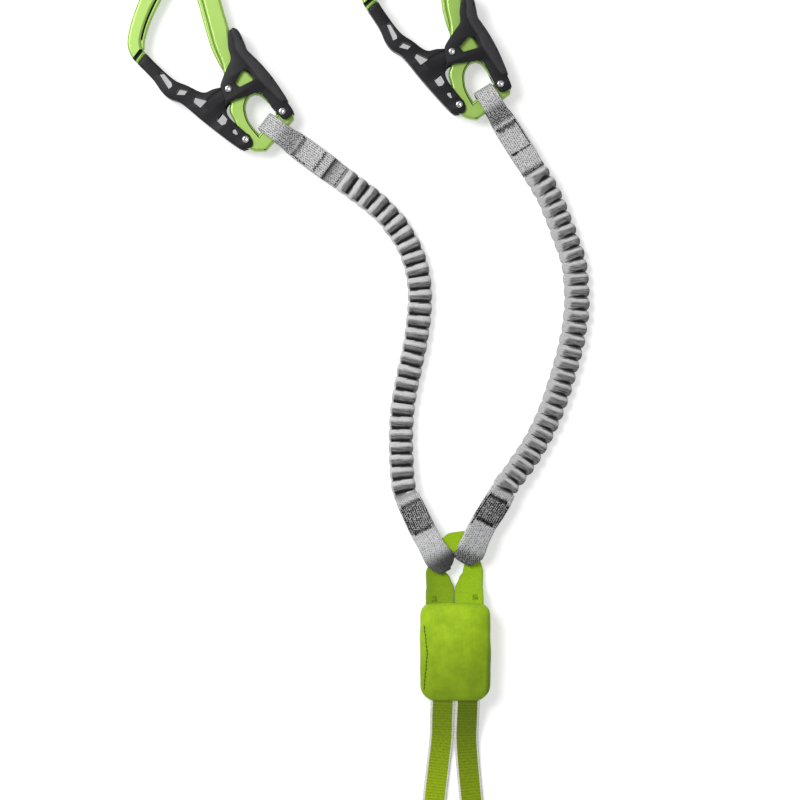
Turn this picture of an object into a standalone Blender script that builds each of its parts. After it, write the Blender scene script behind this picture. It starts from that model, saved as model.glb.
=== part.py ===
"""Via ferrata lanyard, laid out flat on a table.

Two squeeze-to-open carabiners hang on two gathered elastic arms.  The arms loop
round a webbing sling that comes out of the absorber pouch, and a webbing loop
for the harness leaves the pouch at its other end.

The table top is z = 0, +Y runs from the pouch towards the carabiners, and the
origin is the middle of the pouch's underside.  Lengths are in metres.
"""

import bpy
import bmesh
from math import acos, atan2, cos, degrees, hypot, pi, radians, sin
from mathutils import Matrix, Vector
from mathutils.geometry import interpolate_bezier

# Fits
CLEARANCE = 0.0003            # between pieces that touch or turn on each other
OVERRUN = 0.001               # how far a cutter passes through what it cuts
MERGE_DISTANCE = 0.000005
CORNER = "corner"             # marks an outline point that stays sharp
CURVE_STEPS = 2
ROUND_SIDES = 16

# Carabiner frame
FRAME_LENGTH = 0.127
FRAME_WIDTH = 0.068
FRAME_THICKNESS = 0.0084
FRAME_CHAMFER = 0.0016
FLANGE_THICKNESS = 0.0050
FLANGE_CHAMFER = 0.0006
BAR_WIDTH = 0.0098
BAR_ANGLE = 18.7              # degrees, from the frame's +X to the eye bar
NOSE_GAP = 0.0006
NOSE_GROOVE_WIDTH = 0.0030
NOSE_GROOVE_DEPTH = 0.0016

# Gate
GATE_CHEEK = 0.0015
GATE_CHAMFER = 0.0006
GATE_OPENING = 22.0           # degrees
TRACK_DEPTH = 0.0007

# Squeeze lever
LEVER_CHEEK = 0.0015
LEVER_CHAMFER = 0.0005
GRIP_SKIN = 0.0007
GRIP_CHAMFER = 0.0007
STUD_RADIUS = 0.0015
STUD_TRAVEL = 0.0025          # how far the lever draws the studs towards the gate's rivet

# Rivets and springs
RIVET_RADIUS = 0.0015
RIVET_HEAD_RADIUS = 0.0022
RIVET_HEAD_HEIGHT = 0.0006
SPRING_POCKET_RADIUS = 0.0036
SPRING_POCKET_DEPTH = 0.0024
SPRING_WIRE_RADIUS = 0.0003
SPRING_PITCH = 0.0008
SPRING_TURNS = 2
SPRING_TURN_STEPS = 10

# Webbing arms
STRAP_WIDTH = 0.0146
STRAP_THICKNESS = 0.0020
LAYER_GAP = 0.0004
TOP_EYE_WIDTH = 0.0124
EYE_SKEW = 0.0006             # room for the bar standing slightly askew in the eye
TOP_EYE_LENGTH = 0.0505       # gathered tube to the middle of the eye bar
TOP_EYE_THROAT = 0.0155       # bar's middle to where the two layers meet
TOP_EYE_FLAP = 0.0395
LOW_EYE_LENGTH = 0.0465
LOW_EYE_WIDTH = 0.0170        # of the upper layer, spread over the sling
LOW_EYE_GATHERED = 0.0094     # of the lower layer, inside the sling's turn
LOW_EYE_TIP = 0.0080
LOW_EYE_THROAT = 0.0205
LOW_EYE_SHOULDER = 0.0360     # where the eye starts to round off
LOW_EYE_FLAP = 0.0430
LOW_EYE_OPENING = 0.0044
LOW_EYE_HOOK = 0.0290         # gathered tube to where the sling passes
LOW_EYE_STEPS = 6

# Gathered elastic tube
TUBE_WIDTH = 0.0146
TUBE_HEIGHT = 0.0088
TUBE_SIDES = 12
TUBE_END = 0.0060
RIB_COUNT = 27
VALLEY_SHARE = 0.80
CORE_WIDTH = 0.0070
CORE_HEIGHT = 0.0028
CORE_POINTS = 30

# Absorber
POUCH_WIDTH = 0.0424
POUCH_LENGTH = 0.0580
POUCH_HEIGHT = 0.0240
POUCH_WALL = 0.0016
POUCH_ROUNDING = 0.0065
MOUTH_MARGIN = 0.0006
EXIT_SHARE = 0.46             # height of the webbing's exits in the pouch
TAPE_WIDTH = 0.0250
TAPE_LENGTH = 0.0400
TAPE_THICKNESS = 0.0018
TAPE_LAYERS = 8
BEND_STEPS = 4

# Sling between the arms and the absorber
SLING_WIDTH = 0.0168
SLING_THICKNESS = 0.0022
SLING_REACH = 0.0373
SLING_SPREAD = 0.0174
SLING_MIDDLE = -0.0003
BIGHT_MIDDLE = -0.0019
LOOP_HEIGHT = 0.0086          # where the sling passes through the lower eyes
UNDER_TOP = 0.0041            # top of the sling where it passes below them

# Harness loop
TIE_WIDTH = 0.0145
TIE_THICKNESS = 0.0022
TIE_LENGTH = 0.1400           # pouch to the end of the bight
TIE_SPREAD = 0.0149
TIE_BIGHT_RADIUS = 0.0140
TIE_RISE = 0.0002
TIE_PARTING = (0.20, 0.70)    # shares of the way down where the legs part and are fully apart
TIE_LEAN = 0.0012             # how far the legs lie over to the left half way down
BIGHT_STEPS = 11

# The arms' routes: from the top eye to the lower eye, x and y from the tube's lower end,
# z above the table.
LEFT_ROUTE = (
    (-0.04095, 0.19598, 0.0088), (-0.0377, 0.1936, 0.0088), (-0.0345, 0.1912, 0.0087),
    (-0.0231, 0.1827, 0.0070), (-0.0138, 0.1740, 0.0055), (-0.0063, 0.1642, 0.0047),
    (-0.0003, 0.1534, 0.0046), (0.0039, 0.1402, 0.0046), (0.0054, 0.1262, 0.0046),
    (0.0047, 0.1132, 0.0046), (0.0024, 0.0964, 0.0046), (-0.0015, 0.0784, 0.0046),
    (-0.0048, 0.0604, 0.0046), (-0.0060, 0.0430, 0.0047), (-0.0058, 0.0290, 0.0056),
    (-0.0051, 0.0165, 0.0074), (-0.0036, 0.0072, 0.0085), (-0.0018, 0.0036, 0.0086),
    (0.0000, 0.0000, 0.0086),
)
RIGHT_ROUTE = (
    (0.02091, 0.19599, 0.0088), (0.0230, 0.1926, 0.0088), (0.0252, 0.1892, 0.0087),
    (0.0303, 0.1798, 0.0072), (0.0355, 0.1674, 0.0055), (0.0403, 0.1546, 0.0047),
    (0.0446, 0.1418, 0.0046), (0.0462, 0.1278, 0.0046), (0.0464, 0.1138, 0.0046),
    (0.0445, 0.0988, 0.0046), (0.0416, 0.0858, 0.0046), (0.0370, 0.0698, 0.0046),
    (0.0316, 0.0538, 0.0046), (0.0254, 0.0398, 0.0047), (0.0182, 0.0272, 0.0056),
    (0.0100, 0.0155, 0.0074), (0.0036, 0.0072, 0.0085), (0.0018, 0.0036, 0.0086),
    (0.0000, 0.0000, 0.0086),
)

# Each side: route, direction from the tube to the carabiner, direction of the lower eye
# away from the tube, turn of the carabiner on the table, side of the sling, and the place
# of its lower eye from the middle of the sling's bight.
SIDES = {
    "left": (LEFT_ROUTE, 143.7, -63.4, 30.0, -1, (-0.0116, -0.0044)),
    "right": (RIGHT_ROUTE, 122.1, -116.2, 19.1, 1, (0.0156, 0.0001)),
}

# Outlines of the carabiner, as shares of FRAME_WIDTH and FRAME_LENGTH, from the middle of
# the eye bar.
GATE_PIVOT_SHARE = (-0.269, 0.024)
LEVER_PIVOT_SHARE = (0.132, 0.051)
STUD_SHARE = (-0.179, 0.269)
NOSE_SHARES = ((-0.7600, 0.5852), (-0.7063, 0.5978), (-0.6496, 0.6092))
TRACK_ANGLES = (50.0, 111.5)
FRAME_BACK_SHARES = (
    (-0.776, 0.634), (-0.753, 0.693), (-0.647, 0.764), (-0.466, 0.848), (-0.340, 0.897),
    (-0.144, 0.931), (0.037, 0.902), (0.156, 0.822), (0.179, 0.724), (0.119, 0.577),
    (0.094, 0.520, CORNER), (0.053, 0.472), (0.028, 0.409), (0.028, 0.354), (0.053, 0.283),
    (0.088, 0.213), (0.129, 0.142), (0.179, 0.091), (0.209, 0.051), (0.191, -0.005),
)
FRAME_FRONT_SHARES = (
    (-0.244, -0.047), (-0.291, -0.017), (-0.338, 0.024), (-0.303, 0.068), (-0.278, 0.122),
    (-0.268, 0.176), (-0.215, 0.220), (-0.185, 0.268), (-0.156, 0.331), (-0.118, 0.394),
    (-0.097, 0.477), (-0.041, 0.591), (0.012, 0.701), (0.032, 0.772), (-0.043, 0.838),
    (-0.144, 0.854), (-0.253, 0.835), (-0.466, 0.761), (-0.610, 0.691), (-0.654, 0.650),
)
BAR_END_SHARES = (0.147, -0.199)      # of the width, along the bar
FLANGE_SHARES = (
    (-0.691, 0.634, CORNER), (-0.647, 0.709), (-0.500, 0.787), (-0.294, 0.866),
    (-0.144, 0.886), (0.000, 0.858), (0.088, 0.795), (0.088, 0.724), (0.029, 0.583),
    (-0.015, 0.472), (-0.044, 0.362, CORNER), (-0.141, 0.362, CORNER), (-0.141, 0.414),
    (-0.128, 0.487), (-0.062, 0.633), (-0.024, 0.713), (-0.012, 0.764), (-0.071, 0.815),
    (-0.144, 0.827), (-0.224, 0.812), (-0.435, 0.730), (-0.569, 0.662),
    (-0.635, 0.620, CORNER),
)
EYELET_TOP_SHARES = (
    (-0.163, 0.080), (-0.153, 0.125), (-0.119, 0.164), (-0.046, 0.190), (0.024, 0.176),
    (0.059, 0.129), (0.082, 0.083),
)
EYELET_BAR_SHARES = (0.098, -0.128)   # of the width, along the bar
GATE_SHARES = (
    (-0.735, 0.539), (-0.710, 0.480), (-0.700, 0.417), (-0.672, 0.373), (-0.603, 0.327),
    (-0.519, 0.207), (-0.412, 0.066), (-0.362, 0.009), (-0.332, -0.014, CORNER),
    (-0.253, -0.019), (-0.221, 0.005), (-0.229, 0.036), (-0.288, 0.132), (-0.297, 0.178),
    (-0.251, 0.232, CORNER), (-0.229, 0.295, CORNER), (-0.303, 0.306), (-0.369, 0.310),
    (-0.410, 0.327), (-0.474, 0.378), (-0.550, 0.433), (-0.621, 0.548),
)
GATE_WINDOW_SHARES = (
    ((-0.638, 0.494), (-0.607, 0.488), (-0.588, 0.434), (-0.597, 0.417), (-0.631, 0.414)),
    ((-0.553, 0.388), (-0.497, 0.361), (-0.541, 0.350), (-0.607, 0.373)),
    ((-0.472, 0.318), (-0.394, 0.276), (-0.474, 0.262), (-0.501, 0.302)),
    ((-0.335, 0.185), (-0.322, 0.150), (-0.356, 0.136), (-0.387, 0.139), (-0.403, 0.171)),
    ((-0.325, 0.098), (-0.303, 0.095), (-0.307, 0.065), (-0.324, 0.067), (-0.340, 0.086)),
)
GATE_SLOT_SHARES = (
    (-0.356, -0.071), (-0.359, 0.024), (-0.371, 0.079), (-0.387, 0.142), (-0.391, 0.236),
    (-0.397, 0.354), (-0.059, 0.354), (-0.059, -0.071),
)
LEVER_SHARES = (
    (0.071, 0.500), (0.101, 0.506), (0.131, 0.499), (0.138, 0.480), (0.132, 0.429),
    (0.122, 0.383), (0.138, 0.346), (0.162, 0.301), (0.191, 0.213), (0.206, 0.113),
    (0.219, 0.024), (0.197, 0.013), (0.113, 0.014), (0.094, 0.039), (0.071, 0.105),
    (0.062, 0.156), (0.040, 0.184), (-0.040, 0.194), (-0.213, 0.213), (-0.260, 0.207),
    (-0.297, 0.191, CORNER), (-0.254, 0.232, CORNER), (-0.232, 0.294), (-0.193, 0.318),
    (-0.097, 0.358), (-0.028, 0.387), (0.003, 0.439),
)
LEVER_WINDOW_SHARES = (
    (0.019, 0.309), (0.051, 0.298), (0.059, 0.255), (0.041, 0.247), (-0.084, 0.250),
    (-0.106, 0.278), (-0.006, 0.309),
)
LEVER_SLOT_SHARES = (
    (0.146, 0.540), (0.122, 0.472), (0.094, 0.409), (0.088, 0.354), (0.103, 0.283),
    (0.131, 0.213), (0.168, 0.142), (0.191, 0.106), (0.250, 0.087), (0.250, -0.031),
    (-0.382, -0.031), (-0.382, 0.540),
)
GRIP_SHARES = (
    (0.124, 0.510), (0.084, 0.494), (0.065, 0.448), (0.040, 0.413), (0.044, 0.365),
    (0.072, 0.303), (0.079, 0.244), (0.109, 0.184), (0.146, 0.110), (0.171, 0.082, CORNER),
    (0.224, 0.082, CORNER), (0.224, 0.113), (0.209, 0.213), (0.179, 0.301), (0.154, 0.350),
    (0.138, 0.383), (0.149, 0.429), (0.154, 0.483),
)
GRIP_SEAT_SHARES = (
    (0.144, 0.540), (0.144, 0.480), (0.138, 0.429), (0.128, 0.383), (0.144, 0.348),
    (0.168, 0.302), (0.196, 0.213), (0.211, 0.113), (0.219, 0.063), (-0.088, 0.063),
    (-0.088, 0.540),
)

# Sizes that follow from those above
FRAME_HALF = FRAME_THICKNESS / 2
GATE_INNER = FRAME_HALF + CLEARANCE
GATE_HALF = GATE_INNER + GATE_CHEEK
LEVER_INNER = GATE_HALF + CLEARANCE
LEVER_HALF = LEVER_INNER + LEVER_CHEEK
GRIP_INNER = LEVER_HALF + CLEARANCE
GRIP_HALF = GRIP_INNER + GRIP_SKIN
CARABINER_HEIGHT = max(GRIP_HALF, GRIP_INNER + RIVET_HEAD_HEIGHT)
NOSE_OFFSETS = [((x - GATE_PIVOT_SHARE[0]) * FRAME_WIDTH, (y - GATE_PIVOT_SHARE[1]) * FRAME_LENGTH)
                for x, y in NOSE_SHARES]
NOSE_ANGLES = [degrees(atan2(y, x)) for x, y in NOSE_OFFSETS]
NOSE_REACH = hypot(*NOSE_OFFSETS[1])
GATE_REACH = NOSE_REACH - NOSE_GAP
BAR_REACH = hypot(BAR_WIDTH / 2, FRAME_HALF - FRAME_CHAMFER)
EYE_RADIUS = BAR_REACH + EYE_SKEW + CLEARANCE
LAYER_OFFSET = (STRAP_THICKNESS + LAYER_GAP) / 2
POUCH_TOP = POUCH_LENGTH / 2
EXIT_HEIGHT = EXIT_SHARE * POUCH_HEIGHT
JUNCTION = Vector((BIGHT_MIDDLE, POUCH_TOP + SLING_REACH, LOOP_HEIGHT))

# The sling's legs, from the pouch: share of its reach, share of the way outwards over half
# its width, share of the exit's height that is left, and share of its width.
LEG_SHARES = (
    (0.15, 0.0, 0.65, 1.00), (0.31, 0.0, 0.18, 1.00), (0.48, 0.27, 0.0, 0.76),
)
# Below each lower eye: shares of the eye's width outwards, and towards its tip, from where the
# sling passes through, with the shares of the sling's width and thickness.
UNDER_SHARES = (
    (0.06, 0.56, 0.50, 1.2), (-0.08, 0.29, 0.29, 1.45), (-0.12, 0.13, 0.25, 1.55),
    (-0.05, 0.0, 0.25, 1.55), (0.09, -0.01, 0.27, 1.35), (0.27, 0.0, 0.31, 1.1),
)
UNDER_TURNS = (0.0, 20.0, 35.0, 60.0, 85.0, 90.0)
# Round the eye's edge: share of its width outwards, and of the way up.
TURN_SHARES = ((0.38, 0.12), (0.425, 0.5), (0.38, 0.87))
# Back through the eye, at one height, with shares as below it.
THROUGH_SHARES = (
    (0.27, 0.0, 0.33, 1.1), (0.09, 0.0, 0.38, 1.1), (-0.09, 0.0, 0.42, 1.15),
    (-0.39, 0.05, 0.50, 1.15),
)
BIGHT_WIDTH_SHARE = 0.62


def material(name, colour, roughness, metallic=0.0):
    made = bpy.data.materials.new(name)
    made.use_nodes = True
    shader = made.node_tree.nodes["Principled BSDF"]
    shader.inputs["Base Color"].default_value = (*colour, 1.0)
    shader.inputs["Roughness"].default_value = roughness
    shader.inputs["Metallic"].default_value = metallic
    return made


def adopt(obj, name, collection, coat=None):
    """Name an object and its mesh, and put it in one collection with one material."""
    obj.name = name
    obj.data.name = name
    for old in list(obj.users_collection):
        old.objects.unlink(obj)
    collection.objects.link(obj)
    if coat:
        obj.data.materials.clear()
        obj.data.materials.append(coat)
    return obj


def trace(points, steps=CURVE_STEPS):
    """A closed outline through the points: smooth at each, and sharp at the marked ones."""
    count = len(points)
    spots = [Vector(point[:2]).to_3d() for point in points]
    sharp = [len(point) > 2 for point in points]
    traced = []
    for i, start in enumerate(spots):
        j = (i + 1) % count
        end = spots[j]
        if sharp[i] and sharp[j]:
            traced.append(start)
            continue
        third = (end - start).length / 3
        leave = (end - start) if sharp[i] else (end - spots[i - 1])
        arrive = (end - start) if sharp[j] else (spots[(j + 1) % count] - start)
        handles = (start + leave.normalized() * third, end - arrive.normalized() * third)
        traced += interpolate_bezier(start, *handles, end, steps + 1)[:-1]
    return [point.to_2d() for point in traced]


def corners(points):
    return [Vector(point[:2]) for point in points]


def plan(shares, about=(0.0, 0.0)):
    """Shares of the frame's width and length, as places measured from a pivot."""
    places = []
    for share in shares:
        x = share[0] * FRAME_WIDTH - about[0]
        y = share[1] * FRAME_LENGTH - about[1]
        places.append((x, y) + tuple(share[2:]))
    return places


def polar(centre, radius, angle):
    return (centre[0] + radius * cos(radians(angle)), centre[1] + radius * sin(radians(angle)))


def wound(points, clockwise):
    area = sum(a.x * b.y - b.x * a.y for a, b in zip(points, points[1:] + points[:1]))
    return points[::-1] if (area < 0) != clockwise else points


def to_mesh(curve_object, collection):
    """A mesh object from a curve object, with its caps welded on."""
    graph = bpy.context.evaluated_depsgraph_get()
    mesh = bpy.data.meshes.new_from_object(curve_object.evaluated_get(graph))
    shape = bmesh.new()
    shape.from_mesh(mesh)
    bmesh.ops.remove_doubles(shape, verts=shape.verts, dist=MERGE_DISTANCE)
    bmesh.ops.recalc_face_normals(shape, faces=shape.faces)
    shape.to_mesh(mesh)
    shape.free()
    made = bpy.data.objects.new(curve_object.name, mesh)
    made.matrix_world = curve_object.matrix_world
    collection.objects.link(made)
    bpy.data.objects.remove(curve_object)
    return made


def flat(name, collection, coat, outline, half, chamfer=0.0, holes=()):
    """An outline extruded to a half thickness each way, with its edges chamfered."""
    curve = bpy.data.curves.new(name, "CURVE")
    curve.dimensions = "2D"
    curve.fill_mode = "BOTH"
    curve.extrude = half - chamfer
    curve.bevel_depth = chamfer
    curve.bevel_resolution = 0
    curve.offset = -chamfer
    loops = [wound(outline, True)] + [wound(hole, False) for hole in holes]
    for loop in loops:
        spline = curve.splines.new("POLY")
        spline.points.add(len(loop) - 1)
        spline.use_cyclic_u = True
        for point, place in zip(spline.points, loop):
            point.co = (place.x, place.y, 0.0, 1.0)
    drawn = bpy.data.objects.new(name, curve)
    collection.objects.link(drawn)
    return adopt(to_mesh(drawn, collection), name, collection, coat)


def cutter(obj):
    obj.hide_render = True
    obj.display_type = "WIRE"
    return obj


def combine(target, other, operation="DIFFERENCE"):
    change = target.modifiers.new(operation.title(), "BOOLEAN")
    change.operation = operation
    change.solver = "EXACT"
    change.object = other
    return change


def place(obj, parent, location=(0.0, 0.0, 0.0)):
    obj.parent = parent
    obj.location = location
    return obj


def drum(name, radius, low, high, sides=ROUND_SIDES):
    """A cylinder along Z between two heights."""
    bpy.ops.mesh.primitive_cylinder_add(
        vertices=sides, radius=radius, depth=high - low, location=(0.0, 0.0, 0.0))
    made = bpy.context.object
    made.data.transform(Matrix.Translation((0.0, 0.0, (high + low) / 2)))
    made.name = name
    return made


def turned(name, collection, coat, profile):
    """A profile of radius and height, top to bottom down its outer side, turned about Z."""
    mesh = bpy.data.meshes.new(name)
    mesh.from_pydata(
        [(radius, 0.0, height) for radius, height in profile],
        [(i, i + 1) for i in range(len(profile) - 1)], [])
    made = bpy.data.objects.new(name, mesh)
    collection.objects.link(made)
    made.data.materials.append(coat)
    turn = made.modifiers.new("Turn", "SCREW")
    turn.steps = ROUND_SIDES
    turn.render_steps = ROUND_SIDES
    turn.use_merge_vertices = True
    turn.merge_threshold = MERGE_DISTANCE
    return made


def tube(name, collection, coat, points, radius, resolution, section=None, radii=None):
    """A tube along points, round unless a section curve is given."""
    curve = bpy.data.curves.new(name, "CURVE")
    curve.dimensions = "3D"
    curve.twist_mode = "Z_UP"
    curve.use_fill_caps = True
    curve.bevel_resolution = resolution
    if section:
        curve.bevel_mode = "OBJECT"
        curve.bevel_object = section
    else:
        curve.bevel_depth = radius
    spline = curve.splines.new("POLY")
    spline.points.add(len(points) - 1)
    for i, (point, spot) in enumerate(zip(spline.points, points)):
        point.co = (*spot, 1.0)
        point.radius = radii[i] if radii else 1.0
    drawn = bpy.data.objects.new(name, curve)
    collection.objects.link(drawn)
    return adopt(to_mesh(drawn, collection), name, collection, coat)


def oval(name, collection, width, height):
    """A closed oval curve, used as a tube's section."""
    curve = bpy.data.curves.new(name, "CURVE")
    curve.dimensions = "2D"
    curve.fill_mode = "NONE"
    spline = curve.splines.new("POLY")
    spline.points.add(TUBE_SIDES - 1)
    spline.use_cyclic_u = True
    for i, point in enumerate(spline.points):
        turn = 2 * pi * i / TUBE_SIDES
        point.co = (cos(turn) * width / 2, sin(turn) * height / 2, 0.0, 1.0)
    made = bpy.data.objects.new(name, curve)
    collection.objects.link(made)
    return cutter(made)


def strap(name, collection, coat, side_view, width, thickness, widths=None):
    """A strap whose side view is a line of (along, up) points, given its thickness."""
    curve = bpy.data.curves.new(name, "CURVE")
    curve.dimensions = "2D"
    curve.extrude = width / 2
    spline = curve.splines.new("POLY")
    spline.points.add(len(side_view) - 1)
    for point, spot in zip(spline.points, side_view):
        point.co = (spot[0], spot[1], 0.0, 1.0)
    drawn = bpy.data.objects.new(name, curve)
    collection.objects.link(drawn)
    made = adopt(to_mesh(drawn, collection), name, collection, coat)
    if widths:
        for vertex in made.data.vertices:
            vertex.co.z *= widths(vertex.co.x, vertex.co.y) / width
    thick = made.modifiers.new("Thickness", "SOLIDIFY")
    thick.thickness = thickness
    thick.offset = 0.0
    thick.use_even_offset = True
    return made


def loft(name, collection, coat, stations):
    """A strap of changing section: each station has a middle, a width direction, an upward
    direction, half its width and half its thickness."""
    shape = bmesh.new()
    rings = []
    for middle, across, up, half_width, half_thick in stations:
        edge = half_width - half_thick / 2
        ring = []
        for x, y in ((edge, half_thick), (half_width, half_thick / 2),
                     (half_width, -half_thick / 2), (edge, -half_thick),
                     (-edge, -half_thick), (-half_width, -half_thick / 2),
                     (-half_width, half_thick / 2), (-edge, half_thick)):
            ring.append(shape.verts.new(middle + across * x + up * y))
        rings.append(ring)
    for a, b in zip(rings, rings[1:]):
        for i in range(len(a)):
            j = (i + 1) % len(a)
            shape.faces.new((a[i], a[j], b[j], b[i]))
    shape.faces.new(rings[0])
    shape.faces.new(rings[-1])
    bmesh.ops.recalc_face_normals(shape, faces=shape.faces)
    mesh = bpy.data.meshes.new(name)
    shape.to_mesh(mesh)
    shape.free()
    made = bpy.data.objects.new(name, mesh)
    collection.objects.link(made)
    made.data.materials.append(coat)
    return made


def heading(angle):
    return Vector((cos(radians(angle)), sin(radians(angle)), 0.0))


def upright(origin, angle):
    """The placement of a side view: its along axis on the table at an angle, its up axis up."""
    along = heading(angle)
    up = Vector((0.0, 0.0, 1.0))
    across = along.cross(up)
    turn = Matrix((along, up, across)).transposed().to_4x4()
    return Matrix.Translation(origin) @ turn


def smooth_route(points, spacing_list):
    """Places on a smooth curve through the points, at the given shares of its length."""
    spots = [Vector(point) for point in points]
    dense = []
    for i in range(len(spots) - 1):
        before = spots[max(i - 1, 0)]
        start, end = spots[i], spots[i + 1]
        after = spots[min(i + 2, len(spots) - 1)]
        third = (end - start).length / 3
        leave = (end - before).normalized() * third
        arrive = (after - start).normalized() * third
        dense += interpolate_bezier(start, start + leave, end - arrive, end, 9)[:-1]
    dense.append(spots[-1])
    walked = [0.0]
    for a, b in zip(dense, dense[1:]):
        walked.append(walked[-1] + (b - a).length)
    places = []
    k = 0
    for share in spacing_list:
        target = share * walked[-1]
        while k < len(walked) - 2 and walked[k + 1] < target:
            k += 1
        part = (target - walked[k]) / (walked[k + 1] - walked[k])
        places.append(dense[k].lerp(dense[k + 1], part))
    return places, walked[-1]


def bar_point(along, across):
    """A place in the frame's plan, measured along and square to the eye bar."""
    turn = radians(BAR_ANGLE)
    return (along * cos(turn) - across * sin(turn), along * sin(turn) + across * cos(turn))


def rivet(name, collection, coat, seat):
    """A rivet through everything between its two heads, which sit at plus and minus seat."""
    top = seat + RIVET_HEAD_HEIGHT
    rim = top - RIVET_HEAD_HEIGHT / 2
    crown = RIVET_HEAD_RADIUS / 2
    profile = (
        (0.0, top), (crown, top), (RIVET_HEAD_RADIUS, rim), (RIVET_HEAD_RADIUS, seat),
        (RIVET_RADIUS, seat), (RIVET_RADIUS, -seat), (RIVET_HEAD_RADIUS, -seat),
        (RIVET_HEAD_RADIUS, -rim), (crown, -top), (0.0, -top),
    )
    return turned(name, collection, coat, profile)


def torsion_spring(name, collection, coat):
    """A coil round a rivet, in the pocket in the frame's upper face."""
    radius = (SPRING_POCKET_RADIUS + RIVET_RADIUS) / 2
    floor = FRAME_HALF - SPRING_POCKET_DEPTH + CLEARANCE / 2 + SPRING_WIRE_RADIUS
    steps = SPRING_TURNS * SPRING_TURN_STEPS
    points = []
    for i in range(steps + 1):
        turn = 2 * pi * i / SPRING_TURN_STEPS
        height = floor + SPRING_PITCH * i / SPRING_TURN_STEPS
        points.append((radius * cos(turn), radius * sin(turn), height))
    return tube(name, collection, coat, points, SPRING_WIRE_RADIUS, 1)


def carabiner_frame(name, parts, cutters, coat, hub):
    gate_pivot = plan([GATE_PIVOT_SHARE])[0]
    lever_pivot = plan([LEVER_PIVOT_SHARE])[0]
    nose = [(*polar(gate_pivot, NOSE_REACH, angle), CORNER) for angle in NOSE_ANGLES]
    low = [bar_point(share * FRAME_WIDTH, -BAR_WIDTH / 2) for share in BAR_END_SHARES]
    outline = plan(FRAME_BACK_SHARES) + [(*spot, CORNER) for spot in low]
    outline += plan(FRAME_FRONT_SHARES) + nose[::-1]
    high = [bar_point(share * FRAME_WIDTH, BAR_WIDTH / 2) for share in EYELET_BAR_SHARES]
    eyelet = plan(EYELET_TOP_SHARES) + [(*spot, CORNER) for spot in high]
    frame = flat(name, parts, coat, trace(outline), FRAME_HALF, FRAME_CHAMFER, [trace(eyelet)])
    flange = flat(name + "_flange", cutters, None, trace(plan(FLANGE_SHARES)),
                  FLANGE_THICKNESS / 2, FLANGE_CHAMFER)
    combine(frame, place(cutter(flange), hub), "UNION")
    for side, pivot in (("gate", gate_pivot), ("lever", lever_pivot)):
        bore = drum(name + "_bore_" + side, RIVET_RADIUS + CLEARANCE,
                    -FRAME_HALF - OVERRUN, FRAME_HALF + OVERRUN)
        pocket = drum(name + "_pocket_" + side, SPRING_POCKET_RADIUS,
                      FRAME_HALF - SPRING_POCKET_DEPTH, FRAME_HALF + OVERRUN)
        for tool in (bore, pocket):
            combine(frame, place(cutter(adopt(tool, tool.name, cutters)), hub, (*pivot, 0.0)))
    middle = NOSE_ANGLES[1]
    spot = polar(gate_pivot, NOSE_REACH + NOSE_GROOVE_WIDTH, middle)
    for side in (-1, 1):
        bpy.ops.mesh.primitive_cube_add(size=1.0)
        groove = adopt(bpy.context.object, name + "_groove", cutters)
        groove.scale = (NOSE_GROOVE_WIDTH, FRAME_WIDTH / 2, 2 * NOSE_GROOVE_DEPTH)
        groove.rotation_euler.z = radians(middle)
        combine(frame, place(cutter(groove), hub, (*spot, side * FRAME_HALF)))
    return place(frame, hub)


def carabiner_gate(name, parts, cutters, coat, pivot_hub):
    pivot = plan([GATE_PIVOT_SHARE])[0]
    tip = [(*polar((0.0, 0.0), GATE_REACH, angle), CORNER) for angle in NOSE_ANGLES]
    outline = tip[:1] + plan(GATE_SHARES, pivot) + tip[:0:-1]
    windows = [corners(plan(window, pivot)) for window in GATE_WINDOW_SHARES]
    gate = flat(name, parts, coat, trace(outline), GATE_HALF, GATE_CHAMFER)
    slot = flat(name + "_slot", cutters, None, corners(plan(GATE_SLOT_SHARES, pivot)), GATE_INNER)
    combine(gate, place(cutter(slot), pivot_hub))
    bore = adopt(drum(name + "_bore", RIVET_RADIUS + CLEARANCE, -GATE_HALF - OVERRUN,
                      GATE_HALF + OVERRUN), name + "_bore", cutters)
    combine(gate, place(cutter(bore), pivot_hub))
    for number, window in enumerate(windows):
        hole = flat(name + "_window_" + str(number), cutters, None, window, GATE_HALF + OVERRUN)
        combine(gate, place(cutter(hole), pivot_hub))
    stud = plan([STUD_SHARE], pivot)[0]
    inner = hypot(*stud[:2]) - STUD_TRAVEL - STUD_RADIUS - CLEARANCE
    first, last = TRACK_ANGLES
    sweep = [first + (last - first) * k / 4 for k in range(5)]
    sector = [Vector(polar((0.0, 0.0), inner, angle)) for angle in sweep]
    outer = hypot(*stud[:2]) + STUD_RADIUS + CLEARANCE
    sector += [Vector(polar((0.0, 0.0), outer, angle)) for angle in sweep[::-1]]
    for side in (-1, 1):
        track = flat(name + "_track", cutters, None, sector, TRACK_DEPTH)
        combine(gate, place(cutter(track), pivot_hub, (0.0, 0.0, side * GATE_HALF)))
    return place(gate, pivot_hub)


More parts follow.
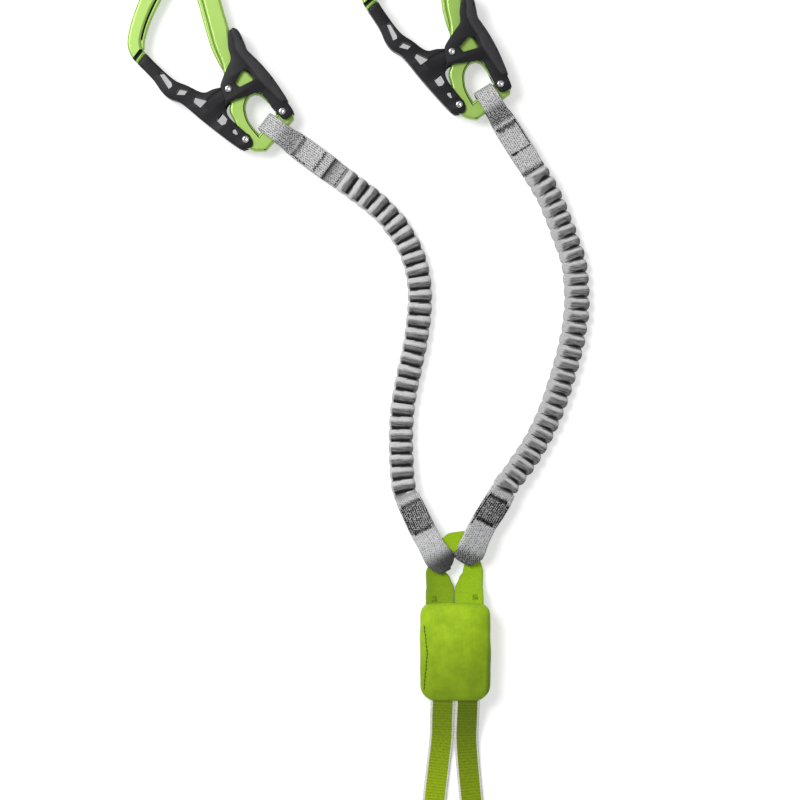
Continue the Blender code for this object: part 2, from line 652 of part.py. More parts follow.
def carabiner_lever(name, parts, cutters, coat, pivot_hub):
    pivot = plan([LEVER_PIVOT_SHARE])[0]
    stud = plan([STUD_SHARE], pivot)[0]
    window = corners(plan(LEVER_WINDOW_SHARES, pivot))
    lever = flat(name, parts, coat, trace(plan(LEVER_SHARES, pivot)), LEVER_HALF, LEVER_CHAMFER,
                 [window])
    slot = flat(name + "_slot", cutters, None, corners(plan(LEVER_SLOT_SHARES, pivot)), LEVER_INNER)
    combine(lever, place(cutter(slot), pivot_hub))
    for tag, spot in (("rivet", (0.0, 0.0)), ("stud", stud[:2])):
        radius = (RIVET_RADIUS if tag == "rivet" else STUD_RADIUS) + CLEARANCE
        bore = drum(name + "_" + tag, radius, -LEVER_HALF - OVERRUN, LEVER_HALF + OVERRUN)
        tool = cutter(adopt(bore, name + "_bore_" + tag, cutters))
        combine(lever, place(tool, pivot_hub, (*spot, 0.0)))
    return place(lever, pivot_hub)


def lever_grip(name, parts, cutters, coat, pivot_hub):
    """The soft skin moulded over the lever's back, open on the side of the frame."""
    pivot = plan([LEVER_PIVOT_SHARE])[0]
    grip = flat(name, parts, coat, trace(plan(GRIP_SHARES, pivot)), GRIP_HALF, GRIP_CHAMFER)
    seat = flat(name + "_seat", cutters, None, corners(plan(GRIP_SEAT_SHARES, pivot)), GRIP_INNER)
    combine(grip, place(cutter(seat), pivot_hub))
    return place(grip, pivot_hub)


def lock_stud(name, parts, coat, pivot_hub, face):
    """A stud in one of the lever's cheeks, above (1) or below (-1), that reaches into the
    gate's track."""
    spot = plan([STUD_SHARE], plan([LEVER_PIVOT_SHARE])[0])[0]
    foot = GATE_HALF - TRACK_DEPTH + CLEARANCE
    top = GRIP_INNER + RIVET_HEAD_HEIGHT
    rim = GRIP_INNER + RIVET_HEAD_HEIGHT / 2
    profile = (
        (0.0, top), (RIVET_HEAD_RADIUS / 2, top), (RIVET_HEAD_RADIUS, rim),
        (RIVET_HEAD_RADIUS, GRIP_INNER), (STUD_RADIUS, GRIP_INNER), (STUD_RADIUS, foot),
        (0.0, foot),
    )
    made = turned(name, parts, coat, profile)
    made.rotation_euler.x = 0.0 if face > 0 else pi
    return place(made, pivot_hub, (*spot, 0.0))


def carabiner(side, parts, cutters, coats, bar_middle, turn):
    """All pieces of one carabiner, hung on empties at its bar, gate rivet and lever rivet."""
    hub = bpy.data.objects.new(side + "_carabiner_origin", None)
    parts.objects.link(hub)
    hub.location = bar_middle
    hub.rotation_euler.z = radians(turn)
    pivots = {}
    for tag, share in (("gate", GATE_PIVOT_SHARE), ("lever", LEVER_PIVOT_SHARE)):
        pivot = bpy.data.objects.new(side + "_" + tag + "_pivot", None)
        parts.objects.link(pivot)
        pivots[tag] = place(pivot, hub, (*plan([share])[0], 0.0))
    carabiner_frame(side + "_frame", parts, cutters, coats["alloy"], hub)
    carabiner_gate(side + "_gate", parts, cutters, coats["black"], pivots["gate"])
    carabiner_lever(side + "_lever", parts, cutters, coats["black"], pivots["lever"])
    lever_grip(side + "_lever_grip", parts, cutters, coats["rubber"], pivots["lever"])
    for tag, face in (("upper", 1), ("under", -1)):
        lock_stud(side + "_lock_stud_" + tag, parts, coats["steel"], pivots["lever"], face)
    seats = {"gate": GATE_HALF + CLEARANCE, "lever": GRIP_INNER}
    for tag, seat in seats.items():
        place(rivet(side + "_" + tag + "_rivet", parts, coats["steel"], seat), pivots[tag])
        place(torsion_spring(side + "_" + tag + "_spring", parts, coats["steel"]), pivots[tag])


def loop_side_view(length, radius, centre, throat, flap, steps):
    """The side view of a sewn eye: lower layer, round the eye, and back along the top."""
    reach = centre - throat
    lean = acos(min(1.0, (radius - LAYER_OFFSET) / reach)) if radius > LAYER_OFFSET else 0.0
    first = pi + lean
    points = [(CLEARANCE, -LAYER_OFFSET), (throat, -LAYER_OFFSET)]
    for k in range(steps + 1):
        turn = first + (2 * pi - 2 * lean) * k / steps
        points.append((centre + radius * cos(turn), radius * sin(turn)))
    points += [(throat, LAYER_OFFSET), (length - flap, LAYER_OFFSET)]
    return points


def top_eye(name, parts, coat, start, angle):
    """The arm's upper end: out to the eye bar, round it and back, sewn flat on itself."""
    radius = EYE_RADIUS + STRAP_THICKNESS / 2
    view = loop_side_view(TOP_EYE_LENGTH, radius, TOP_EYE_LENGTH,
                          TOP_EYE_LENGTH - TOP_EYE_THROAT, TOP_EYE_FLAP, 14)
    begin = TOP_EYE_LENGTH - TOP_EYE_THROAT
    finish = TOP_EYE_LENGTH - radius - STRAP_THICKNESS / 2

    def widths(along, up):
        part = min(1.0, max(0.0, (along - begin) / (finish - begin)))
        return STRAP_WIDTH + (TOP_EYE_WIDTH - STRAP_WIDTH) * part

    made = strap(name, parts, coat, view, STRAP_WIDTH, STRAP_THICKNESS, widths)
    made.matrix_world = upright(start, angle)
    return made


def low_eye(name, parts, coat, start, angle):
    """The arm's lower end: a flat loop round the sling with a rounded tip, sewn on itself."""
    radius = (LOW_EYE_OPENING + STRAP_THICKNESS) / 2
    centre = LOW_EYE_LENGTH - radius - STRAP_THICKNESS / 2
    mouth = LOW_EYE_THROAT + radius
    shoulders = [LOW_EYE_SHOULDER + (centre - LOW_EYE_SHOULDER) * k / 2 for k in range(2)]
    lower = [mouth] + shoulders
    view = [(CLEARANCE, -LAYER_OFFSET), (LOW_EYE_THROAT, -LAYER_OFFSET)]
    view += [(along, -radius) for along in lower]
    for k in range(LOW_EYE_STEPS + 1):
        turn = -pi / 2 + pi * k / LOW_EYE_STEPS
        view.append((centre + radius * cos(turn), radius * sin(turn)))
    view += [(along, radius) for along in reversed(lower)]
    view += [(LOW_EYE_THROAT, LAYER_OFFSET), (LOW_EYE_LENGTH - LOW_EYE_FLAP, LAYER_OFFSET)]

    def widths(along, up):
        if along < (LOW_EYE_THROAT + mouth) / 2:
            return STRAP_WIDTH
        spread = LOW_EYE_GATHERED
        if up > 0:
            spread += (LOW_EYE_WIDTH - LOW_EYE_GATHERED) * min(1.0, up / (radius * cos(pi / 6)))
        past = max(0.0, (along - LOW_EYE_SHOULDER) / (centre + radius - LOW_EYE_SHOULDER))
        return LOW_EYE_TIP + (spread - LOW_EYE_TIP) * (1.0 - min(1.0, past) ** 2) ** 0.5

    made = strap(name, parts, coat, view, STRAP_WIDTH, STRAP_THICKNESS, widths)
    made.matrix_world = upright(start, angle)
    return made


def gathered_tube(name, parts, cutters, coat, route):
    """The elastic arm: a ribbed webbing tube with a plain bore right through it."""
    section = oval(name + "_section", cutters, TUBE_WIDTH, TUBE_HEIGHT)
    bore_section = oval(name + "_bore_section", cutters, CORE_WIDTH + 4 * CLEARANCE,
                        CORE_HEIGHT + 4 * CLEARANCE)
    length = smooth_route(route, [0.0, 1.0])[1]
    ribbed = length - 2 * TUBE_END
    marks = [0.0]
    radii = [VALLEY_SHARE]
    for i in range(2 * RIB_COUNT + 1):
        marks.append((TUBE_END + ribbed * i / (2 * RIB_COUNT)) / length)
        radii.append(VALLEY_SHARE if i % 2 == 0 else 1.0)
    marks.append(1.0)
    radii.append(VALLEY_SHARE)
    points = smooth_route(route, marks)[0]
    made = tube(name, parts, coat, points, 0.0, 2, section, radii)
    bore_points = smooth_route(route, [i / CORE_POINTS for i in range(CORE_POINTS + 1)])[0]
    bore_points.insert(0, bore_points[0] + (bore_points[0] - bore_points[1]).normalized() * OVERRUN)
    bore_points.append(bore_points[-1] + (bore_points[-1] - bore_points[-2]).normalized() * OVERRUN)
    bore = tube(name + "_bore", cutters, None, bore_points, 0.0, 2, bore_section)
    combine(made, cutter(bore))
    return made


def elastic_core(name, parts, cutters, coat, route):
    """The flat elastic inside the gathered tube."""
    section = oval(name + "_section", cutters, CORE_WIDTH, CORE_HEIGHT)
    marks = [i / CORE_POINTS for i in range(CORE_POINTS + 1)]
    return tube(name, parts, coat, smooth_route(route, marks)[0], 0.0, 2, section)


def arm(side, parts, cutters, coats, hook):
    """One arm and its carabiner, built up from the lower eye that hangs on the sling."""
    route, top_angle, low_angle, turn = SIDES[side][:4]
    foot = hook - heading(low_angle) * LOW_EYE_HOOK
    spots = [Vector((foot.x + x, foot.y + y, z)) for x, y, z in route]
    outward = heading(top_angle)
    head = Vector((spots[0].x, spots[0].y, CARABINER_HEIGHT))
    gathered_tube(side + "_bungee", parts, cutters, coats["bungee"], spots)
    elastic_core(side + "_elastic_core", parts, cutters, coats["rubber"], spots)
    top_eye(side + "_top_eye", parts, coats["webbing"], head, top_angle)
    low_eye(side + "_lower_eye", parts, coats["webbing"], foot, low_angle)
    carabiner(side, parts, cutters, coats, head + outward * TOP_EYE_LENGTH, turn)


def station(middle, across, tangent, half_width, half_thick):
    across = (across - tangent * across.dot(tangent)).normalized()
    return (middle, across, tangent.cross(across), half_width, half_thick)


def along_stations(rows):
    """Loft stations from rows of middle, width direction, half width and half thickness."""
    stations = []
    for i, (middle, across, half_width, half_thick) in enumerate(rows):
        before = rows[max(i - 1, 0)][0]
        after = rows[min(i + 1, len(rows) - 1)][0]
        stations.append(station(middle, across, (after - before).normalized(), half_width,
                                half_thick))
    return stations


def sling_half(side):
    """Rows of middle, width direction, half width and half thickness, from inside the pouch up
    to the last one before the middle of the bight."""
    low_angle, sign, hook = SIDES[side][2], SIDES[side][4], SIDES[side][5]
    half_width = SLING_WIDTH / 2
    half_thick = SLING_THICKNESS / 2
    across = Vector((1.0, 0.0, 0.0))
    under = UNDER_TOP - half_thick
    leg = SLING_MIDDLE + sign * SLING_SPREAD / 2
    rows = []
    for y in (TAPE_LENGTH / 2 + CLEARANCE, POUCH_TOP - POUCH_WALL, POUCH_TOP):
        rows.append((Vector((leg, y, EXIT_HEIGHT)), across, half_width, half_thick))
    for reach, outwards, height, wide in LEG_SHARES:
        middle = Vector((leg + sign * outwards * half_width, POUCH_TOP + reach * SLING_REACH,
                         under + (EXIT_HEIGHT - under) * height))
        rows.append((middle, across, half_width * wide, half_thick))
    down = heading(low_angle)
    out = heading(low_angle + sign * 90.0)
    eye = Vector((JUNCTION.x + hook[0], JUNCTION.y + hook[1], 0.0))

    def passing(outwards, tipwards, height):
        spot = eye + out * outwards * LOW_EYE_WIDTH + down * tipwards * LOW_EYE_WIDTH
        return Vector((spot.x, spot.y, height))

    spots = []
    for outwards, tipwards, wide, thick in UNDER_SHARES:
        height = UNDER_TOP - half_thick * thick
        spots.append((passing(outwards, tipwards, height), half_width * wide, half_thick * thick))
    low_end, wide, thin = spots[-1]
    for outwards, rise in TURN_SHARES:
        height = low_end.z + (LOOP_HEIGHT - low_end.z) * rise
        spots.append((passing(outwards, 0.0, height), wide, thin))
    for outwards, tipwards, wide, thick in THROUGH_SHARES:
        spots.append((passing(outwards, tipwards, LOOP_HEIGHT), half_width * wide,
                      half_thick * thick))
    for number, (spot, wide, thin) in enumerate(spots):
        turned_by = radians(UNDER_TURNS[number] if number < len(UNDER_TURNS) else 90.0)
        across = (out * cos(turned_by) + down * sin(turned_by)) * sign
        rows.append((spot, across, wide, thin))
    return rows


def upper_sling(name, parts, coat):
    """The sling: a flat leg on each side, bunched where it loops through the lower eyes."""
    left = sling_half("left")
    right = sling_half("right")
    turned_back = [(middle, -across, wide, thin) for middle, across, wide, thin in reversed(right)]
    half_width = SLING_WIDTH * BIGHT_WIDTH_SHARE / 2
    bight = (JUNCTION, Vector((0.0, 1.0, 0.0)), half_width, SLING_THICKNESS / 2)
    return loft(name, parts, coat, along_stations(left + [bight] + turned_back))


def harness_loop(name, parts, coat):
    """The tie-in loop: flat legs that turn on edge and join in a bight."""
    half_width = TIE_WIDTH / 2
    half_thick = TIE_THICKNESS / 2
    inside = -TAPE_LENGTH / 2 - CLEARANCE
    low = half_thick + TIE_RISE
    edge_on = half_width + TIE_RISE
    spread = TIE_SPREAD / 2
    end = -POUCH_TOP - TIE_LENGTH
    bight = end + TIE_BIGHT_RADIUS
    span = -POUCH_TOP - bight
    legs = [(inside, spread, EXIT_HEIGHT, 0.0), (-POUCH_TOP, spread, EXIT_HEIGHT, 0.0)]
    for along, height_share, turned_share in (
            (0.08, 0.62, 0.0), (0.18, 0.18, 0.0), (0.30, 0.0, 0.0), (0.46, 0.0, 0.0),
            (0.58, 0.0, 0.05), (0.68, 0.0, 0.25), (0.78, 0.0, 0.55), (0.88, 0.0, 0.85)):
        flat_height = low + (EXIT_HEIGHT - low) * height_share
        height = flat_height + (edge_on - low) * sin(turned_share * pi / 2)
        parted = (along - TIE_PARTING[0]) / (TIE_PARTING[1] - TIE_PARTING[0])
        x = spread + (TIE_BIGHT_RADIUS - spread) * min(1.0, max(0.0, parted))
        legs.append((-POUCH_TOP - along * span, x, height, turned_share))
    rows = []
    back = []
    for y, x, height, turned_share in legs:
        turn = turned_share * pi / 2
        lean = TIE_LEAN * sin(pi * min(1.0, max(0.0, (-POUCH_TOP - y) / span)))
        rows.append((Vector((-x - lean, y, height)), Vector((cos(turn), 0.0, sin(turn))),
                     half_width, half_thick))
        back.append((Vector((x - lean, y, height)), Vector((-cos(turn), 0.0, sin(turn))),
                     half_width, half_thick))
    arc = []
    for k in range(BIGHT_STEPS + 1):
        turn = pi + pi * k / BIGHT_STEPS
        arc.append((Vector((TIE_BIGHT_RADIUS * cos(turn), bight + TIE_BIGHT_RADIUS * sin(turn),
                            edge_on)), Vector((0.0, 0.0, 1.0)), half_width, half_thick))
    return loft(name, parts, coat, along_stations(rows + arc + back[::-1]))


def rounded_box(name, collection, size, rounding, middle):
    bpy.ops.mesh.primitive_cube_add(size=1.0, location=(0.0, 0.0, 0.0))
    made = adopt(bpy.context.object, name, collection)
    made.data.transform(Matrix.Diagonal((*size, 1.0)))
    made.location = middle
    if rounding:
        bevel = made.modifiers.new("Rounding", "BEVEL")
        bevel.width = rounding
        bevel.segments = 3
    return made


def pouch(name, parts, cutters, coat):
    """The absorber's cover: a soft box, open where the webbing goes in at each end."""
    middle = (0.0, 0.0, POUCH_HEIGHT / 2)
    outer = (POUCH_WIDTH, POUCH_LENGTH, POUCH_HEIGHT)
    inner = tuple(size - 2 * POUCH_WALL for size in outer)
    cover = rounded_box(name, parts, outer, POUCH_ROUNDING, middle)
    cover.data.materials.append(coat)
    hollow = rounded_box(name + "_hollow", cutters, inner, POUCH_ROUNDING - POUCH_WALL, middle)
    combine(cover, cutter(hollow))
    mouths = (
        ("sling", SLING_SPREAD + SLING_WIDTH, SLING_THICKNESS, SLING_MIDDLE, POUCH_TOP),
        ("tie", TIE_SPREAD + TIE_WIDTH, TIE_THICKNESS, 0.0, -POUCH_TOP),
    )
    for tag, width, thickness, x, y in mouths:
        size = (width + 2 * MOUTH_MARGIN, 4 * POUCH_WALL, thickness + 2 * MOUTH_MARGIN)
        mouth = rounded_box(name + "_mouth_" + tag, cutters, size, 0.0, (x, y, EXIT_HEIGHT))
        combine(cover, cutter(mouth))
    return cover


def tear_tape(name, parts, coat):
    """The absorber itself: a tape folded to and fro, that tears apart in a fall."""
    low = POUCH_WALL + CLEARANCE + TAPE_THICKNESS / 2
    high = POUCH_HEIGHT - POUCH_WALL - 2 * CLEARANCE - TAPE_THICKNESS / 2
    pitch = (high - low) / (TAPE_LAYERS - 1)
    radius = pitch / 2
    reach = TAPE_LENGTH / 2 - radius - TAPE_THICKNESS / 2
    view = [(-reach, low)]
    for layer in range(TAPE_LAYERS - 1):
        side = 1 if layer % 2 == 0 else -1
        height = low + pitch * (layer + 0.5)
        for k in range(BEND_STEPS + 1):
            turn = -pi / 2 + pi * k / BEND_STEPS
            view.append((side * (reach + radius * cos(turn)), height + radius * sin(turn)))
    last = 1 if (TAPE_LAYERS - 1) % 2 == 0 else -1
    view.append((last * reach, low + pitch * (TAPE_LAYERS - 1)))
    made = strap(name, parts, coat, view, TAPE_WIDTH, TAPE_THICKNESS)
    made.matrix_world = upright(Vector((0.0, 0.0, 0.0)), 90.0)
    return made


def main():
    for old in list(bpy.data.objects):
        bpy.data.objects.remove(old)
    parts = bpy.data.collections.new("via_ferrata_lanyard")
    cutters = bpy.data.collections.new("cutters")
    for collection in (parts, cutters):
        bpy.context.scene.collection.children.link(collection)
    coats = {
        "alloy": material("green_anodised_alloy", (0.42, 0.74, 0.17), 0.35, 0.6),
        "black": material("black_moulding", (0.018, 0.018, 0.022), 0.45),
        "rubber": material("grip_rubber", (0.055, 0.052, 0.062), 0.5),
        "steel": material("bright_steel", (0.75, 0.75, 0.76), 0.25, 1.0),
        "webbing": material("grey_webbing", (0.50, 0.50, 0.52), 0.85),
        "bungee": material("gathered_grey_webbing", (0.30, 0.30, 0.31), 0.85),
        "lime": material("lime_webbing", (0.33, 0.56, 0.03), 0.8),
        "cover": material("lime_pouch_cloth", (0.40, 0.64, 0.04), 0.75),
        "tape": material("tear_tape", (0.62, 0.60, 0.52), 0.85),
    }
    for side, values in SIDES.items():
        hook = JUNCTION + Vector((*values[5], 0.0))
        arm(side, parts, cutters, coats, hook)
    upper_sling("upper_sling", parts, coats["lime"])
    harness_loop("tie_in_loop", parts, coats["lime"])
    pouch("absorber_pouch", parts, cutters, coats["cover"])
    tear_tape("tear_tape", parts, coats["tape"])


main()
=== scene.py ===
"""Looks of the via ferrata lanyard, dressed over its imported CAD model.

The lanyard lies on a white table and is seen from straight above.  +Y runs from the
absorber pouch towards the carabiners, the table top is z = 0, and lengths are in metres.
"""

from math import acos, atan2, cos, degrees, floor, hypot, pi, radians, sin

import bmesh
import bpy
from mathutils import Matrix, Vector, noise
from mathutils.bvhtree import BVHTree
from mathutils.geometry import interpolate_bezier


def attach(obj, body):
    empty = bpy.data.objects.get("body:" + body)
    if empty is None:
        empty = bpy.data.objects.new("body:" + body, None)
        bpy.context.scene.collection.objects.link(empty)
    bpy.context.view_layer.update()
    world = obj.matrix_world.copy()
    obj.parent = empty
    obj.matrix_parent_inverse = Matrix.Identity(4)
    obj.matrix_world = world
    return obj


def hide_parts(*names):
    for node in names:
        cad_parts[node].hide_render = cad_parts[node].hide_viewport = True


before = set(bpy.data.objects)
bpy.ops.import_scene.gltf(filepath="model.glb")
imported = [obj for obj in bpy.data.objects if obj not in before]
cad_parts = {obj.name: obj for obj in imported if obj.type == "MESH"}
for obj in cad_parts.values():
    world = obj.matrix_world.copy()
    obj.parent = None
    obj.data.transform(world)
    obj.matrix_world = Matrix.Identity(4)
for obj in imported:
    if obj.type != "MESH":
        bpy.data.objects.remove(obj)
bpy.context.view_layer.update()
SCENE = bpy.context.scene
ORIGIN = Vector((0.0, 0.0, 0.0))
UP = Vector((0.0, 0.0, 1.0))
MM = 1000.0                   # weaves are drawn in millimetres
CORNER = "corner"             # marks an outline point that stays sharp

# View
VIEW_WIDTH = 0.480            # across the picture, at VIEW_LEVEL above the table
VIEW_MIDDLE = (-0.0331, 0.1512)
VIEW_HEIGHT = 2.0
VIEW_LEVEL = 0.0088
VIEW_REACH = 20.0             # how far the camera sees
SENSOR = 36.0
TABLE_SIZE = 6.0
WORLD_LIGHT = 0.34
# Each lamp: its place from the middle of the view, its size and its power.
LAMPS = {"key": ((-0.80, 0.62, 1.45), 0.75, 20.0), "fill": ((1.1, -0.5, 1.6), 1.5, 2.5)}

# Fits
CLEARANCE = 0.0003
OVERRUN = 0.001
WELD = 0.000005
DROP_HEIGHT = 0.1             # above every piece

# How finely curves are divided
TRACE_STEPS = 6               # on each stretch of an outline
ROUTE_STEPS = 12              # on each stretch of a cord's route
SLING_STEPS = 6
TIE_STEPS = 5
FACE_STEPS = 8                # across a strap's face
EDGE_STEPS = 6                # round a strap's edge
EYE_STEPS = 28                # round the carabiner's bar
TIP_STEPS = 16
CREST_STEPS = 24
BIGHT_STEPS = 11
TURN_STEPS = 8
TRACK_STEPS = 12
END_RINGS = (3, 6)            # on each arm's plain ends
CORE_STEPS = 40

# Carabiner frame
FRAME_LENGTH = 0.127
FRAME_WIDTH = 0.068
FRAME_THICKNESS = 0.0084
FRAME_ROUNDING = 0.0016
FLANGE_THICKNESS = 0.0050     # of the thin inner lip
FLANGE_ROUNDING = 0.0010
BAR_WIDTH = 0.0098
BAR_ANGLE = 18.7
NOSE_GAP = 0.0006             # between the nose and the gate's tip
NOSE_SLOT = (0.0026, 0.0092, 0.0030)   # its width, length and depth
NOSE_SLOT_INSET = 0.0034      # from the nose's end to the middle of its slot
FACET_ANGLE = 10.5            # edges sharper than this stay crisp on the alloy
GROOVE_LIFT = 0.0001          # of the creases' middle line above the lip's face
CREASE_RADIUS = 0.0009
CREASE_SPAN = (7, 18.5)       # where it starts and ends, in points of the front outline
SPINE_CREASE_RADIUS = 0.00035
RIM_SHARE = 1.14              # times the eyelet's outline
RIM_RADIUS = 0.00032
LINE_RADIUS = 0.00042         # of the fine line beside the bar
FRAME_LINE = ((-0.0132, -0.0079), (-0.0096, -0.0081), (-0.0059, -0.0072))

# Gate and lever
GATE_CHEEK = 0.0015
GATE_ROUNDING = 0.0006
TRACK_DEPTH = 0.0007
WINDOW_SHARE = 1.12           # times the outline of each of the gate's windows
LEVER_CHEEK = 0.0015
LEVER_ROUNDING = 0.0005
GRIP_SKIN = 0.0007
GRIP_ROUNDING = 0.0017
NOTCH_RADIUS = 0.0005         # of the grip's row of notches
STUD_RADIUS = 0.0015
STUD_TRAVEL = 0.0025          # along the gate's track
RIVET_RADIUS = 0.0015
HEAD_RADIUS = 0.0022
HEAD_HEIGHT = 0.0006
HEAD_DOME = 0.0011            # how high the upper heads are turned
POCKET_RADIUS = 0.0036        # of the springs' pockets in the frame
POCKET_DEPTH = 0.0024

# Webbing arms
STRAP_WIDTH = 0.0146
STRAP_THICKNESS = 0.0020
LAYER_GAP = 0.0004            # between an eye's two layers
TOP_EYE_WIDTH = 0.0124
EYE_SKEW = 0.0006             # the eye's extra room, as it lies askew on the bar
TOP_EYE_LENGTH = 0.0505
TOP_EYE_THROAT = 0.0155
TOP_EYE_FLAPS = {"left": 0.0395, "right": 0.0500}
LOW_EYE_LENGTH = 0.0465
LOW_EYE_WIDTH = 0.0170
LOW_EYE_GATHERED = 0.0094
LOW_EYE_THROAT = 0.0205
LOW_EYE_OPENING = 0.0044
LOW_EYE_HOOK = 0.0290
LOW_EYE_CREST = 0.0300        # where the upper layer starts down over the sling
LOW_EYE_TURN = 0.00125        # how tightly the webbing turns back at the tip
LOW_EYE_NARROWS = 0.003       # how far beyond its mouth the lower layer is fully gathered
LOW_EYE_HANGS = 0.004         # how far before the crest, and before the tip, the droop runs
LOW_EYE_END = 0.001
LOW_EYE_FALL = 0.96           # the share of its height that it has over its mouth
LOW_EYE_DROOP = 0.0013        # how far the upper layer's edges hang towards the tip
LOW_EYE_WAVE = 0.00018
VIEW_SPACING = {"top": 0.0012, "lower": 0.0007}     # between the points of a side view

# Where the top eyes' webbing changes, along from the gathered tube.
TOP_EYE_FULLER = ((0.004, 0.012), (0.028, 0.038))
TOP_EYE_RUBBED = ((0.0340, 0.0365), (0.0430, 0.0475))
# The stretch at each top eye's end painted dark as the shadow of the arm's first fold:
TOP_EYE_END_SHADE = (0.0022, 0.0032)
TOP_EYE_FLAP_SHADE = (0.0002, 0.0065)     # back from the flap's end, in its shadow

# Thread
THREAD_RADIUS = 0.00038
HEAVY_THREAD_RADIUS = 0.00046
LOW_THREAD_RADIUS = 0.00042
STITCH_RADIUS = 0.00030
STITCH_LENGTH = 0.0024
THREAD_LIFT = 0.0005          # of the top eyes' thread above their upper layer
LOW_THREAD_LIFT = 0.0002
TACK_INSET = 0.0008           # of the tacks' ends from the webbing's edge
TACK_END = STRAP_WIDTH / 2 - TACK_INSET
SHORT_TACK = 0.0032
# A lock stitch's points: shares of its length, and heights in radii.
STITCH_SHARES = ((0.08, -3.0), (0.18, 0.8), (0.5, 1.0), (0.82, 0.8), (0.92, -3.0))

# The sewing on each top eye. A bar tack: its number, its place along from the gathered tube,
# its start across, its turns, its reach along and its radius. A row of stitches: its number,
# its start and end along, its start and end across, and its lift above the layer.
TOP_EYE_SEWING = {
    "left": (
        ("tack", 1, 0.0326, -TACK_END, 34, 0.0015, HEAVY_THREAD_RADIUS),
        ("tack", 2, 0.0172, -TACK_END, 15, 0.0008, THREAD_RADIUS),
        ("row", 3, 0.0230, 0.0310, TACK_END, TACK_END, 0.0),
    ),
    "right": (
        ("tack", 1, 0.0316, -TACK_END, 34, 0.0015, HEAVY_THREAD_RADIUS),
        ("row", 2, 0.0150, 0.0150, TACK_END, -TACK_END, THREAD_LIFT),
        ("tack", 4, 0.0150, TACK_END - SHORT_TACK, 10, 0.0007, THREAD_RADIUS),
        ("row", 3, 0.0158, 0.0310, -TACK_END, -TACK_END, THREAD_LIFT),
    ),
}
UNDER_ROW_PLACE = 0.0018      # of the row of stitches next to the gathered tube

# Where each lower eye's upper layer is painted darker towards the tip, as painted shade where it
# turns down round the sling: from, to and its slant across.
LOW_EYE_SHADE = {"left": (0.0292, 0.0388, 0.0012), "right": (0.0335, 0.0412, 0.0018)}
# Where the right eye's dark dashes grow denser towards the tip, with its painted shade.
LOW_EYE_PALER = (0.0320, 0.0400)
# Where it is darker between its two tacks: round the first, round the second, and its slant.
STITCHED_RISE = (-0.0010, 0.0016)
STITCHED_FALL = (-0.0012, 0.0020)
STITCHED_SLANT = 0.0010

# Half widths of each lower eye's upper layer, along from the gathered tube, on the side of
# the other eye and on its outer side.
EYE_EDGES = {
    "left": (((-0.0060, 0.0076), (0.0170, 0.0076), (0.0250, 0.0077), (0.0300, 0.0083),
              (0.0345, 0.0096), (0.0370, 0.0099), (0.0395, 0.0096), (0.0415, 0.0082),
              (0.0432, 0.0062), (0.0444, 0.0040), (0.0450, 0.0028)),
             ((-0.0060, 0.0074), (0.0034, 0.0076), (0.0120, 0.0080), (0.0185, 0.0080),
              (0.0258, 0.0076), (0.0352, 0.0078), (0.0380, 0.0074), (0.0406, 0.0064),
              (0.0425, 0.0050), (0.0438, 0.0036), (0.0450, 0.0020))),
    "right": (((-0.0060, 0.0074), (0.0023, 0.0079), (0.0130, 0.0091), (0.0227, 0.0098),
               (0.0290, 0.0098), (0.0336, 0.0098), (0.0380, 0.0100), (0.0425, 0.0102),
               (0.0441, 0.0090), (0.0449, 0.0066)),
              ((-0.0060, 0.0078), (0.0024, 0.0080), (0.0100, 0.0074), (0.0177, 0.0062),
               (0.0260, 0.0061), (0.0342, 0.0071), (0.0378, 0.0072), (0.0398, 0.0061),
               (0.0418, 0.0048), (0.0432, 0.0036), (0.0449, 0.0016))),
}
EYE_TIPS = {"left": 0.0450, "right": 0.0449}

# Each lower eye's bar tacks: along from the gathered tube, and the ends across it.
EYE_TACKS = {
    "left": ((-0.0014, -0.0056, 0.0062), (0.0162, -0.0055, 0.0050)),
    "right": ((0.0008, -0.0062, 0.0052), (0.0166, -0.0068, 0.0036)),
}
EYE_TACK_TURNS = 34
EYE_TACK_REACH = 0.0010
# The stitches along the right lower eye's edge: start and end along, start and end across.
EDGE_ROW = (0.0014, 0.0230, -0.0062, -0.0088)
EDGE_STITCH_LENGTH = 0.0019
EDGE_STITCH_RADIUS = 0.00034

# Gathered elastic tube
TUBE_WIDTH = 0.0146
TUBE_HEIGHT = 0.0088
TUBE_SIDES = 44
RIB_RINGS = 14                # on each fold
RIB_START = 0.12              # a fold's first ring, past the cusp, as a share of the fold
RIB_POWER = 0.45              # less is fuller, with a sharper cusp
TUBE_POWER = 0.72             # of the section: 1 is an oval, and less is squarer
RIB_SEEDS = {"left": 2.0, "right": 7.0}
# For each arm, on its left and on its right side: how far the cusps cut in, and how wide its
# folds are, as shares of its half width.
RIB_SIDES = {"left": ((0.13, 1.02), (0.17, 1.02)), "right": ((0.15, 1.04), (0.30, 1.10))}
PIT_SHADOW_TONE = 0.010              # of the near black painted shadow in the valleys
# How wide the right arm's painted valley shadows are, across it from its left side.
PIT_SHADOW_WIDTHS = ((-0.42, 0.0), (-0.36, 0.12), (0.15, 0.85), (0.55, 1.0), (0.80, 0.25), (0.86, 0.0))
# Each arm's plain ends, next to the top eye and next to the lower eye, and its folds.
ARM_FOLDS = {"left": (0.0003, 0.0082, 27), "right": (0.0007, 0.0050, 28)}
CORE_WIDTH = 0.0070
CORE_HEIGHT = 0.0028

